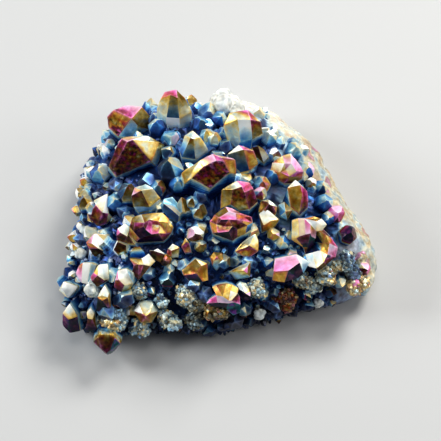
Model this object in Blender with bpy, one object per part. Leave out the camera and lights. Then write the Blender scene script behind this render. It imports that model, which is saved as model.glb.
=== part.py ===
"""Aura quartz cluster: short quartz points grown together over a domed piece of matrix, as one solid.

The base lies flat on z = 0 and the points face up. Places on the crystal face are given as seen from the
front view, which looks along +Y and down at VIEW_RISE: (right, up) in millimetres in that view's plane.
"""

from itertools import combinations
from math import cos, pi, radians, sin

import bmesh
import bpy
import numpy as np
from mathutils import Vector, noise
from mathutils.bvhtree import BVHTree

MM = 0.001
SEED = 7

# The front view: its rise above the horizon, its right, up and outward directions, and the eye.
VIEW_RISE = radians(60)
VIEW_RIGHT = np.array((1.0, 0.0, 0.0))
VIEW_UP = np.array((0.0, sin(VIEW_RISE), cos(VIEW_RISE)))
VIEW_OUT = np.array((0.0, -cos(VIEW_RISE), sin(VIEW_RISE)))
CENTRE_OUT = 8.0  # how far the middle of the view lies out from the origin (mm)
VIEW_CENTRE = CENTRE_OUT * VIEW_OUT
EYE_DISTANCE = 610.0  # from the middle of the view (mm)

# The matrix in plan at its widest, anticlockwise from the front left corner (mm).
MATRIX_PLAN = (
    (-36.5, -31.5), (-30.0, -34.0), (-20.0, -34.0), (-10.0, -33.5), (0.0, -33.5), (9.0, -31.0),
    (17.0, -28.5), (26.0, -26.5), (34.5, -24.5), (38.5, -19.5), (39.0, -12.5), (35.5, -4.5),
    (30.5, 2.5), (27.5, 9.5), (24.0, 17.0), (17.5, 23.5), (10.5, 27.5), (3.5, 30.0),
    (-5.0, 28.0), (-15.0, 26.5), (-24.0, 22.0), (-30.5, 15.5), (-34.5, 6.5), (-35.5, -3.0),
    (-36.5, -12.0), (-37.5, -22.0),
)
PLAN_MIDDLE = -2.0
PLAN_STEPS = 44
# Rings of the matrix from below the base up: height at the middle, slope towards the back, share of the plan.
MATRIX_RINGS = (
    (-2.0, 0.0, 0.86), (1.2, 0.0, 0.93), (3.4, 0.02, 0.985), (6.5, 0.065, 1.0), (10.7, 0.095, 0.93),
    (14.5, 0.095, 0.84), (18.3, 0.135, 0.66), (20.7, 0.17, 0.46), (22.3, 0.19, 0.24),
)
MATRIX_SUMMIT = (0.0, 2.0, 23.6)
LUMP_DEPTH = 0.9
LUMP_PITCH = 7.0
LUMP_RISE = 0.5  # share of a lump's depth that also lifts the surface

# Quartz: the cap faces meet the axis's square at this angle.
CAP_TILT = radians(51.8)
SIDES = 6
FLARE = 0.35  # how far the minor cap faces stand out, as a share of the width, on a point with cap 1
UNEVEN = 0.05  # share by which one crystal's walls differ
ROOT = 0.45  # depth of a crystal in the matrix, as a share of its width

# Hand-placed points: tip's place in the front view (right, up), width, length, lean (right, up), turn in
# degrees of the first wall from the view's right, cap (0 six even cap faces, 1 three).
POINTS = {
    "top_left": (-22.25, 26.00, 10.75, 9.0, -0.04, 0.40, -32, 0.4),
    "big_dark": (-22.50, 19.75, 12.50, 10.0, 0.08, 0.42, -67, 0.35),
    "top": (-11.75, 31.25, 7.75, 10.0, 0.00, 0.60, -90, 0.3),
    "olive_tent": (-7.25, 20.75, 5.75, 7.5, -0.08, 0.50, -92, 0.3),
    "lilac": (-12.25, 20.75, 4.00, 5.0, 0.10, 0.10, 215, 0.6),
    "grey_tent": (-13.00, 14.75, 6.00, 7.5, -0.12, 0.50, -95, 0.3),
    "crown": (0.50, 15.50, 11.25, 12.0, 0.18, 0.56, -115, 0.3),
    "heart": (5.00, 8.25, 8.50, 9.0, 0.02, 0.42, -105, 0.3),
    "stepped": (2.25, 1.50, 10.00, 9.0, -0.04, 0.45, -108, 0.3),
    "wedge": (7.75, -6.00, 5.25, 5.5, 0.10, 0.05, -110, 1.0),
    "shoulder": (6.25, 17.50, 6.75, 8.5, 0.15, 0.50, -110, 0.2),
    "small_gold": (9.75, 19.50, 4.50, 6.5, -0.10, 0.55, -60, 0.3),
    "pale_tower": (6.50, 25.50, 8.75, 9.0, 0.05, 0.50, -90, 0.2),
    "cream_a": (-3.50, 22.25, 3.50, 5.5, 0.00, 0.50, -80, 0.2),
    "cream_b": (-1.25, 21.50, 3.25, 5.5, 0.10, 0.50, -95, 0.2),
    "grey_blue": (-5.00, 25.00, 4.00, 5.0, 0.00, 0.40, -60, 0.4),
    "gold_pink": (17.00, 15.00, 8.25, 8.5, 0.02, 0.40, -72, 0.3),
    "leaning": (20.25, 8.00, 5.00, 9.0, 0.18, 0.60, -105, 0.3),
    "white_bead": (22.75, 9.50, 2.75, 4.0, 0.10, 0.10, -60, 0.3),
    "little_tent": (16.00, 2.75, 3.75, 5.0, 0.00, 0.10, -60, 0.4),
    "bitten": (12.00, 4.00, 4.50, 5.5, 0.10, 0.40, -75, 0.4),
    "cream_block": (11.25, 0.50, 4.50, 5.0, 0.00, 0.10, -50, 0.4),
    "bright": (22.75, -3.25, 7.50, 7.0, 0.10, -0.05, 165, 1.0),
    "arc": (24.00, -9.50, 6.25, 6.0, 0.15, -0.20, 120, 0.5),
    "pink": (16.75, -12.75, 6.50, 6.5, 0.00, -0.15, 100, 0.5),
    "low_wedge": (6.50, -12.25, 5.00, 5.5, 0.25, 0.05, -120, 1.0),
    "three_sided": (-5.75, -13.25, 6.25, 6.0, 0.10, -0.10, 135, 1.0),
    "drop": (-1.25, -9.25, 2.75, 4.0, 0.00, 0.20, -90, 0.2),
    "front_gold": (2.25, -20.00, 7.75, 8.0, 0.10, -0.20, 120, 0.3),
    "front_cream": (7.25, -18.00, 4.50, 5.5, 0.10, -0.10, 110, 0.5),
    "low_white": (10.00, -24.25, 3.25, 4.0, 0.05, -0.30, 100, 0.4),
    "bead_right": (24.50, -21.25, 2.50, 3.0, 0.00, -0.40, 90, 0.2),
    "right_lump": (34.50, -17.00, 6.00, 6.0, 0.25, -0.20, 80, 0.2),
    "right_pink_a": (36.00, -9.50, 3.75, 4.5, 0.40, 0.00, 60, 0.3),
    "right_pink_b": (36.50, -12.25, 3.50, 4.5, 0.40, -0.10, 90, 0.3),
    "right_bud": (29.25, -11.50, 2.75, 4.0, 0.10, -0.10, 80, 0.3),
    "right_pair_a": (29.25, 1.75, 4.25, 5.0, 0.20, 0.05, 90, 0.4),
    "right_pair_b": (32.50, -3.00, 4.25, 5.0, 0.25, 0.20, -110, 0.4),
    "blue_a": (26.25, 5.00, 4.00, 5.0, 0.15, 0.20, -70, 0.2),
    "blue_b": (27.00, 0.75, 3.00, 4.0, 0.10, 0.10, -60, 0.3),
    "magenta": (-17.00, -0.75, 9.75, 7.0, 0.00, 0.34, -90, 0.4),
    "cream_cap": (-25.50, -3.75, 4.50, 6.0, -0.20, -0.10, 60, 0.5),
    "gold_right": (-19.25, 6.75, 6.50, 7.5, -0.12, 0.45, -95, 0.3),
    "dark_left": (-23.00, 8.50, 4.75, 6.5, 0.05, 0.50, -90, 0.2),
    "white_tri": (-29.25, 2.50, 5.00, 6.0, -0.05, -0.05, 105, 1.0),
    "white_oval": (-34.25, -2.50, 3.00, 4.5, -0.25, 0.10, 20, 0.2),
    "white_wing": (-32.75, -6.25, 5.00, 6.0, -0.40, -0.12, 45, 0.6),
    "striped": (-20.25, -7.00, 3.50, 5.0, 0.00, 0.35, -90, 0.2),
    "maroon": (-20.50, -11.25, 5.75, 6.0, 0.00, 0.00, -80, 0.3),
    "white_a": (-35.50, -8.50, 3.25, 4.5, -0.20, 0.00, 40, 0.3),
    "white_b": (-35.50, -14.00, 5.00, 6.0, -0.38, -0.08, 30, 0.5),
    "white_c": (-31.25, -13.75, 5.00, 6.0, -0.30, -0.10, 40, 0.5),
    "white_tip": (-40.00, -17.25, 4.75, 6.5, -0.65, -0.10, 0, 0.6),
    "white_d": (-32.25, -18.00, 3.75, 4.5, -0.10, -0.10, 70, 0.3),
    "white_e": (-29.75, -19.75, 4.50, 5.5, -0.12, -0.25, 60, 0.5),
    "white_f": (-25.75, -15.25, 5.00, 6.0, -0.28, -0.20, 50, 0.5),
    "corner": (-38.25, -24.50, 5.25, 6.5, -0.35, -0.35, 70, 0.6),
    "corner_b": (-32.50, -24.25, 4.00, 5.5, -0.10, -0.40, 80, 0.5),
    "edge_a": (-37.75, -10.50, 2.00, 3.5, -0.40, 0.10, 0, 0.2),
    "edge_b": (-37.25, -13.75, 2.00, 3.5, -0.30, -0.10, 0, 0.2),
    "pale_left": (-30.50, 12.50, 4.75, 6.0, -0.15, 0.25, -100, 0.3),
    "pale_left_b": (-32.50, 12.25, 3.25, 4.5, -0.30, 0.20, -120, 0.3),
    "lilac_left": (-28.00, 19.50, 2.75, 4.0, -0.20, 0.30, -90, 0.3),
    "upright": (-34.00, 5.75, 3.75, 7.0, -0.15, 0.50, -90, 0.3),
    "upright_b": (-32.25, 4.00, 2.75, 6.0, -0.05, 0.40, -90, 0.3),
    "tail": (-28.25, -32.75, 6.00, 9.0, -0.05, -0.72, 90, 0.4),
    "olive_low": (-18.50, -23.50, 5.25, 6.0, 0.00, -0.25, 90, 0.3),
    "knob_a": (-14.50, -20.00, 3.00, 4.5, 0.00, 0.10, 90, 0.2),
    "knob_b": (-14.00, -25.50, 4.75, 5.0, 0.05, -0.25, 60, 0.2),
    "knob_c": (-11.25, -25.75, 3.75, 4.5, 0.10, -0.30, 90, 0.2),
    "column": (-8.75, -17.50, 5.25, 7.5, 0.00, 0.35, -90, 0.2),
    "knob_d": (-6.50, -25.50, 4.00, 4.5, 0.00, -0.30, 60, 0.2),
    "ringed": (16.50, -21.00, 5.75, 5.5, 0.05, -0.25, 100, 0.4),
    "sparkle": (-6.25, -3.25, 4.00, 5.0, 0.00, 0.10, -70, 0.5),
    "bud_a": (-8.25, -5.25, 2.75, 4.5, -0.10, 0.15, -60, 0.3),
    "bud_b": (-5.00, -6.00, 3.00, 4.0, 0.00, 0.10, -60, 0.3),
    "bud_c": (-12.00, -7.50, 3.00, 4.0, 0.00, 0.00, -100, 0.4),
    "bud_d": (-13.75, -10.00, 2.75, 4.0, 0.00, -0.10, -80, 0.3),
    "blade_a": (-9.75, 5.75, 2.75, 6.0, -0.10, 0.45, -80, 0.3),
    "blade_b": (-7.00, 5.50, 3.00, 6.0, 0.05, 0.45, -100, 0.3),
    "navy": (-13.00, 4.25, 5.00, 6.0, -0.20, 0.35, -70, 0.4),
    "olive_small": (-5.25, 3.00, 3.75, 5.0, 0.05, 0.30, -100, 0.3),
    "bead_a": (13.00, -3.25, 3.00, 4.5, -0.05, 0.10, -60, 0.4),
    "bead_b": (15.75, -5.25, 3.25, 4.5, 0.05, 0.05, -80, 0.3),
    "rim_a": (12.25, 21.25, 3.75, 4.5, 0.10, 0.30, -70, 0.3),
    "rim_b": (22.00, 13.25, 4.00, 4.5, 0.20, 0.25, -80, 0.3),
    "rim_c": (25.50, 8.75, 3.25, 4.5, 0.20, 0.20, -90, 0.2),
    "rim_d": (18.75, 18.25, 4.00, 4.5, 0.15, 0.30, -80, 0.3),
    "mid_a": (10.50, 9.75, 3.75, 5.0, 0.05, 0.30, -90, 0.3),
    "mid_b": (13.25, 11.75, 3.50, 5.0, 0.10, 0.30, -70, 0.3),
    "mid_c": (10.25, 7.25, 3.25, 5.0, 0.15, 0.25, -110, 0.3),
    "slope_a": (-26.25, 5.25, 4.00, 6.0, 0.00, 0.25, -60, 0.3),
    "slope_b": (-15.50, 8.75, 3.75, 5.5, 0.00, 0.30, -90, 0.3),
    "slope_c": (-10.75, 9.75, 3.75, 5.5, 0.05, 0.30, -80, 0.3),
    "gap_a": (-16.00, 24.50, 4.00, 6.0, -0.05, 0.45, -100, 0.3),
    "rim_lump_a": (-0.25, 31.25, 5.25, 5.0, -0.10, 0.30, -90, 0.1),
    "rim_lump_b": (2.75, 31.00, 5.25, 5.0, 0.10, 0.30, -60, 0.1),
    "right_grey": (31.50, -10.00, 4.25, 4.5, 0.20, 0.00, 30, 0.3),
    "right_blue": (33.25, -13.50, 4.00, 4.0, 0.20, -0.10, 60, 0.3),
}

# Smaller points scattered between them and over the back and the ends.
SCATTER_TRIES = 9000
SCATTER_WIDTH = (2.4, 4.6)
SCATTER_LENGTH = (0.85, 1.25)  # in widths
SCATTER_SPACING = 0.55  # least distance between two feet, in the sum of their widths
SCATTER_TILT = 0.3
SCATTER_LOWEST = 4.5
SCATTER_COUNT = 68
WALL_SHARE = 0.72  # how much smaller the points on the steep sides are
STEEP = radians(50)
# The bare rind of the matrix: compass range in plan, from +X, and the height it ends at.
RIND_FROM, RIND_TO, RIND_TOP = radians(-35), radians(105), 21.5

MERGE = 0.02  # corners of a crystal closer than this are one (mm)
SLACK = 2e-4  # a corner this far outside a plane still counts as on it (mm)
PARALLEL = 1e-4  # planes whose determinant is under this don't meet in a corner
PUDDLE = 1e-5  # vertices closer than this after the union are one (m)
BASE_SLAB = (120.0, 120.0, 20.0)  # what trims the base flat, its top on z = 0 (mm)

COATING_COLOUR = (0.16, 0.24, 0.45, 1.0)
COATING_METAL = 0.9
COATING_ROUGHNESS = 0.32


def closed_curve(points, count):
    """A closed Catmull-Rom curve through the points, sampled at `count` places."""
    points = np.array(points)
    size = len(points)
    samples = []
    for step in range(count):
        place = step * size / count
        i, t = int(place), place % 1.0
        a, b, c, d = (points[(i + k) % size] for k in (-1, 0, 1, 2))
        curve = 2 * b + (c - a) * t + (2 * a - 5 * b + 4 * c - d) * t**2 + (3 * b - a - 3 * c + d) * t**3
        samples.append(curve / 2)
    return samples


def matrix_rings():
    """Rows of points (mm) of the matrix, from below the base to just under the summit."""
    plan = closed_curve(MATRIX_PLAN, PLAN_STEPS)
    rows = []
    for height, slope, share in MATRIX_RINGS:
        row = []
        for x, y in plan:
            flat = np.array((x * share, PLAN_MIDDLE + (y - PLAN_MIDDLE) * share))
            z = height + slope * (flat[1] - PLAN_MIDDLE)
            lump = LUMP_DEPTH * noise.noise(Vector((flat[0], flat[1], z)) / LUMP_PITCH)
            outward = flat / np.linalg.norm(flat)
            row.append((*(flat + outward * lump), z + LUMP_RISE * lump))
        rows.append(row)
    return rows


def build_matrix():
    """The domed matrix as a closed bmesh in millimetres."""
    body = bmesh.new()
    rows = [[body.verts.new(p) for p in row] for row in matrix_rings()]
    summit = body.verts.new(MATRIX_SUMMIT)
    body.faces.new(rows[0][::-1])
    for low, high in zip(rows, rows[1:]):
        for i in range(PLAN_STEPS):
            j = (i + 1) % PLAN_STEPS
            body.faces.new((low[i], low[j], high[j], high[i]))
    for i in range(PLAN_STEPS):
        body.faces.new((rows[-1][i], rows[-1][(i + 1) % PLAN_STEPS], summit))
    bmesh.ops.recalc_face_normals(body, faces=body.faces)
    return body


def crystal_planes(width, length, cap, rng):
    """Outward normals and offsets of a quartz point along +Z with its root below the origin."""
    normals, offsets = [], []
    for side in range(SIDES):
        turn = side * 2 * pi / SIDES
        wall = np.array((cos(turn), sin(turn), 0.0))
        face = np.array((sin(CAP_TILT) * cos(turn), sin(CAP_TILT) * sin(turn), cos(CAP_TILT)))
        flare = cap * FLARE * width if side % 2 else 0.0
        normals += [wall, face]
        offsets.append(0.5 * width * (1 + rng.uniform(-UNEVEN, UNEVEN)))
        offsets.append(cos(CAP_TILT) * (length + flare + rng.uniform(0, UNEVEN) * width))
    normals.append(np.array((0.0, 0.0, -1.0)))
    offsets.append(ROOT * width)
    return np.array(normals), np.array(offsets)


def merged_corners(corners, triples):
    """Corners with near neighbours made one, and the set of planes through each."""
    kept, planes = [], []
    for corner, triple in zip(corners, triples):
        near = [i for i, other in enumerate(kept) if np.abs(other - corner).max() < MERGE]
        if near:
            planes[near[0]].update(triple)
        else:
            kept.append(corner)
            planes.append(set(triple))
    return np.array(kept), planes


def convex_body(normals, offsets):
    """Corners and faces of the solid that lies under every plane."""
    triples = np.array(list(combinations(range(len(normals)), 3)))
    triples = triples[np.abs(np.linalg.det(normals[triples])) > PARALLEL]
    corners = np.linalg.solve(normals[triples], offsets[triples][..., None])[..., 0]
    inside = (corners @ normals.T <= offsets + SLACK).all(axis=1)
    corners, planes = merged_corners(corners[inside], triples[inside])
    faces = []
    for number, normal in enumerate(normals):
        on = np.array([i for i, through in enumerate(planes) if number in through])
        if len(on) < 3:
            continue
        spread = corners[on] - corners[on].mean(axis=0)
        first = spread[0] / np.linalg.norm(spread[0])
        second = np.cross(normal, first)
        faces.append(on[np.argsort(np.arctan2(spread @ second, spread @ first))])
    return corners, faces


def axes_along(axis, side):
    """Rows of a frame whose third row is the axis and whose first leans towards the side."""
    axis = axis / np.linalg.norm(axis)
    first = side - axis * (side @ axis)
    first /= np.linalg.norm(first)
    return np.array((first, np.cross(axis, first), axis))


def surface_under(tree, right, up):
    """The matrix's point seen at (right, up) in the front view."""
    eye = VIEW_CENTRE + EYE_DISTANCE * VIEW_OUT
    target = VIEW_CENTRE + right * VIEW_RIGHT + up * VIEW_UP
    ray = target - eye
    hit = tree.ray_cast(Vector(eye), Vector(ray / np.linalg.norm(ray)))[0]
    if hit is None:
        hit = tree.find_nearest(Vector(target))[0]
    return np.array(hit)


def placed_points(tree):
    """Foot, frame, width, length and cap of each hand-placed point."""
    found = []
    for right, up, width, length, lean_right, lean_up, turn, cap in POINTS.values():
        foot = surface_under(tree, right - length * lean_right, up - length * lean_up)
        outward = (1 - lean_right**2 - lean_up**2) ** 0.5
        axis = lean_right * VIEW_RIGHT + lean_up * VIEW_UP + outward * VIEW_OUT
        side = cos(radians(turn)) * VIEW_RIGHT + sin(radians(turn)) * VIEW_UP
        found.append((foot, axes_along(axis, side), width, length, cap))
    return found


def on_rind(place):
    """Whether a place on the matrix belongs to its bare rind."""
    compass = np.arctan2(place[1] - PLAN_MIDDLE, place[0])
    return RIND_FROM < compass < RIND_TO and place[2] < RIND_TOP


def random_point(face, rng):
    """A point with a seeded size and lean, standing on a triangle of the matrix."""
    corners = np.array([vert.co for vert in face.verts])
    foot = rng.dirichlet((1, 1, 1)) @ corners
    width = rng.uniform(*SCATTER_WIDTH) * (WALL_SHARE if face.normal.z < cos(STEEP) else 1.0)
    length = width * rng.uniform(*SCATTER_LENGTH)
    axis = np.array(face.normal) + rng.normal(0, SCATTER_TILT, 3)
    side = rng.normal(0, 1, 3)
    return foot, axes_along(axis, side), width, length, rng.uniform(0, 1)


def scattered_points(matrix, taken, rng):
    """More points, at seeded places on the matrix clear of those already taken."""
    bmesh.ops.triangulate(matrix, faces=matrix.faces)
    faces = list(matrix.faces)
    areas = np.array([face.calc_area() for face in faces])
    feet = [(foot, width) for foot, _, width, _, _ in taken]
    found = []
    for index in rng.choice(len(faces), SCATTER_TRIES, p=areas / areas.sum()):
        point = random_point(faces[index], rng)
        foot, width = point[0], point[2]
        near = any(np.linalg.norm(foot - other) < SCATTER_SPACING * (width + wide) for other, wide in feet)
        if near or foot[2] < SCATTER_LOWEST or on_rind(foot):
            continue
        found.append(point)
        feet.append((foot, width))
        if len(found) == SCATTER_COUNT:
            break
    return found


def add_crystal(body, foot, frame, width, length, cap, rng):
    """Adds one quartz point to the bmesh."""
    corners, faces = convex_body(*crystal_planes(width, length, cap, rng))
    verts = [body.verts.new(foot + corner @ frame) for corner in corners]
    for loop in faces:
        body.faces.new([verts[i] for i in loop])


def mesh_object(name, body):
    """A mesh object in metres from a bmesh in millimetres."""
    bmesh.ops.scale(body, vec=(MM, MM, MM), verts=body.verts)
    mesh = bpy.data.meshes.new(name)
    body.to_mesh(mesh)
    body.free()
    thing = bpy.data.objects.new(name, mesh)
    bpy.context.scene.collection.objects.link(thing)
    return thing


def boolean(thing, other, operation):
    """Applies an exact Boolean with another object, which is then removed."""
    modifier = thing.modifiers.new(operation.title(), "BOOLEAN")
    modifier.operation = operation
    modifier.solver = "EXACT"
    modifier.use_self = operation == "UNION"
    modifier.object = other
    graph = bpy.context.evaluated_depsgraph_get()
    joined = bpy.data.meshes.new_from_object(thing.evaluated_get(graph))
    thing.modifiers.clear()
    thing.data = joined
    bpy.data.objects.remove(other)


def shells_of(body):
    """The sets of vertices that edges join, smallest first."""
    left = set(body.verts)
    shells = []
    while left:
        shell, waiting = set(), [left.pop()]
        while waiting:
            vert = waiting.pop()
            shell.add(vert)
            beside = {edge.other_vert(vert) for edge in vert.link_edges} & left
            left -= beside
            waiting.extend(beside)
        shells.append(shell)
    return sorted(shells, key=len)


def keep_outer_shell(thing):
    """Removes the closed pockets left between crystals, and vertices that coincide."""
    body = bmesh.new()
    body.from_mesh(thing.data)
    bmesh.ops.remove_doubles(body, verts=body.verts, dist=PUDDLE)
    bmesh.ops.dissolve_degenerate(body, edges=body.edges, dist=PUDDLE)
    for shell in shells_of(body)[:-1]:
        bmesh.ops.delete(body, geom=list(shell), context="VERTS")
    body.to_mesh(thing.data)
    body.free()


def base_cutter():
    """A slab under z = 0 that trims the base flat."""
    body = bmesh.new()
    bmesh.ops.create_cube(body, size=1.0)
    bmesh.ops.scale(body, vec=BASE_SLAB, verts=body.verts)
    bmesh.ops.translate(body, vec=(0, 0, -BASE_SLAB[2] / 2), verts=body.verts)
    return mesh_object("base_cutter", body)


def coated_quartz():
    """Opaque metal film on quartz: mid blue with a satin gloss."""
    material = bpy.data.materials.new("aura_coating")
    material.use_nodes = True
    shader = material.node_tree.nodes["Principled BSDF"]
    shader.inputs["Base Color"].default_value = COATING_COLOUR
    shader.inputs["Metallic"].default_value = COATING_METAL
    shader.inputs["Roughness"].default_value = COATING_ROUGHNESS
    return material


def main():
    for thing in list(bpy.data.objects):
        bpy.data.objects.remove(thing)
    rng = np.random.default_rng(SEED)
    matrix = build_matrix()
    tree = BVHTree.FromBMesh(matrix)
    placed = placed_points(tree)
    crystals = bmesh.new()
    for point in placed + scattered_points(matrix.copy(), placed, rng):
        add_crystal(crystals, *point, rng)
    cluster = mesh_object("quartz_cluster", matrix)
    boolean(cluster, mesh_object("crystals", crystals), "UNION")
    boolean(cluster, base_cutter(), "DIFFERENCE")
    keep_outer_shell(cluster)
    cluster.data.materials.clear()
    cluster.data.materials.append(coated_quartz())


main()
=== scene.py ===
"""Looks of the aura quartz cluster: a fine mesh of its matrix, quartz points and druse, and their metal film.

It repeats the layout of the solid, in millimetres and with the same random order, so that every point of
the solid stands where it did. Places on the crystal face are given as seen from the front view: (right, up).
"""

from itertools import combinations
from math import cos, pi, radians, sin, tau

import bmesh
import bpy
import numpy as np
from mathutils import Matrix, Vector, noise
from mathutils.bvhtree import BVHTree


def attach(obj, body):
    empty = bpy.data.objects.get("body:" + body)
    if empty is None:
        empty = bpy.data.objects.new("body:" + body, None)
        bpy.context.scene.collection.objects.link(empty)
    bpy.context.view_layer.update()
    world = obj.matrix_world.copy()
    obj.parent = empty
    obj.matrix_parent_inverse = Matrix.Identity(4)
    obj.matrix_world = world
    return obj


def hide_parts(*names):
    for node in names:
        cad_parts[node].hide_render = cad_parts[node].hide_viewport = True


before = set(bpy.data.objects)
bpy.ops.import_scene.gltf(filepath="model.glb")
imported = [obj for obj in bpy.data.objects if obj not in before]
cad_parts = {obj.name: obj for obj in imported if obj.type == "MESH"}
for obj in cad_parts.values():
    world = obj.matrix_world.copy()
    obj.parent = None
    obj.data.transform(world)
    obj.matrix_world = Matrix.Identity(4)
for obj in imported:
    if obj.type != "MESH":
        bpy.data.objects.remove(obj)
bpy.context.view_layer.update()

NODE = "quartz_cluster"
LOWEST = 0.05  # nothing but the matrix's base reaches below this height (mm)

# ---------------------------------------------------------------- layout, as in the solid
MM = 0.001
SEED = 7

# The front view: its rise above the horizon, its right, up and outward directions, and the eye.
VIEW_RISE = radians(60)
VIEW_RIGHT = np.array((1.0, 0.0, 0.0))
VIEW_UP = np.array((0.0, sin(VIEW_RISE), cos(VIEW_RISE)))
VIEW_OUT = np.array((0.0, -cos(VIEW_RISE), sin(VIEW_RISE)))
CENTRE_OUT = 8.0  # how far the middle of the view lies out from the origin (mm)
VIEW_CENTRE = CENTRE_OUT * VIEW_OUT
EYE_DISTANCE = 610.0  # from the middle of the view (mm)
PICTURE_WIDTH = 110.25  # what the picture takes in across the middle of the view (mm)
SENSOR = 36.0

# The matrix in plan at its widest, anticlockwise from the front left corner (mm).
MATRIX_PLAN = (
    (-36.5, -31.5), (-30.0, -34.0), (-20.0, -34.0), (-10.0, -33.5), (0.0, -33.5), (9.0, -31.0),
    (17.0, -28.5), (26.0, -26.5), (34.5, -24.5), (38.5, -19.5), (39.0, -12.5), (35.5, -4.5),
    (30.5, 2.5), (27.5, 9.5), (24.0, 17.0), (17.5, 23.5), (10.5, 27.5), (3.5, 30.0),
    (-5.0, 28.0), (-15.0, 26.5), (-24.0, 22.0), (-30.5, 15.5), (-34.5, 6.5), (-35.5, -3.0),
    (-36.5, -12.0), (-37.5, -22.0),
)
PLAN_MIDDLE = -2.0
PLAN_STEPS = 44
# Rings of the matrix from below the base up: height at the middle, slope towards the back, share of the plan.
MATRIX_RINGS = (
    (-2.0, 0.0, 0.86), (1.2, 0.0, 0.93), (3.4, 0.02, 0.985), (6.5, 0.065, 1.0), (10.7, 0.095, 0.93),
    (14.5, 0.095, 0.84), (18.3, 0.135, 0.66), (20.7, 0.17, 0.46), (22.3, 0.19, 0.24),
)
MATRIX_SUMMIT = (0.0, 2.0, 23.6)
LUMP_DEPTH = 0.9
LUMP_PITCH = 7.0
LUMP_RISE = 0.5  # share of a lump's depth that also lifts the surface

# Quartz: the cap faces meet the axis's square at this angle.
CAP_TILT = radians(51.8)
SIDES = 6
FLARE = 0.35  # how far the minor cap faces stand out, as a share of the width, on a point with cap 1
UNEVEN = 0.05  # share by which one crystal's walls differ
ROOT = 0.45  # depth of a crystal in the matrix, as a share of its width

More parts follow.
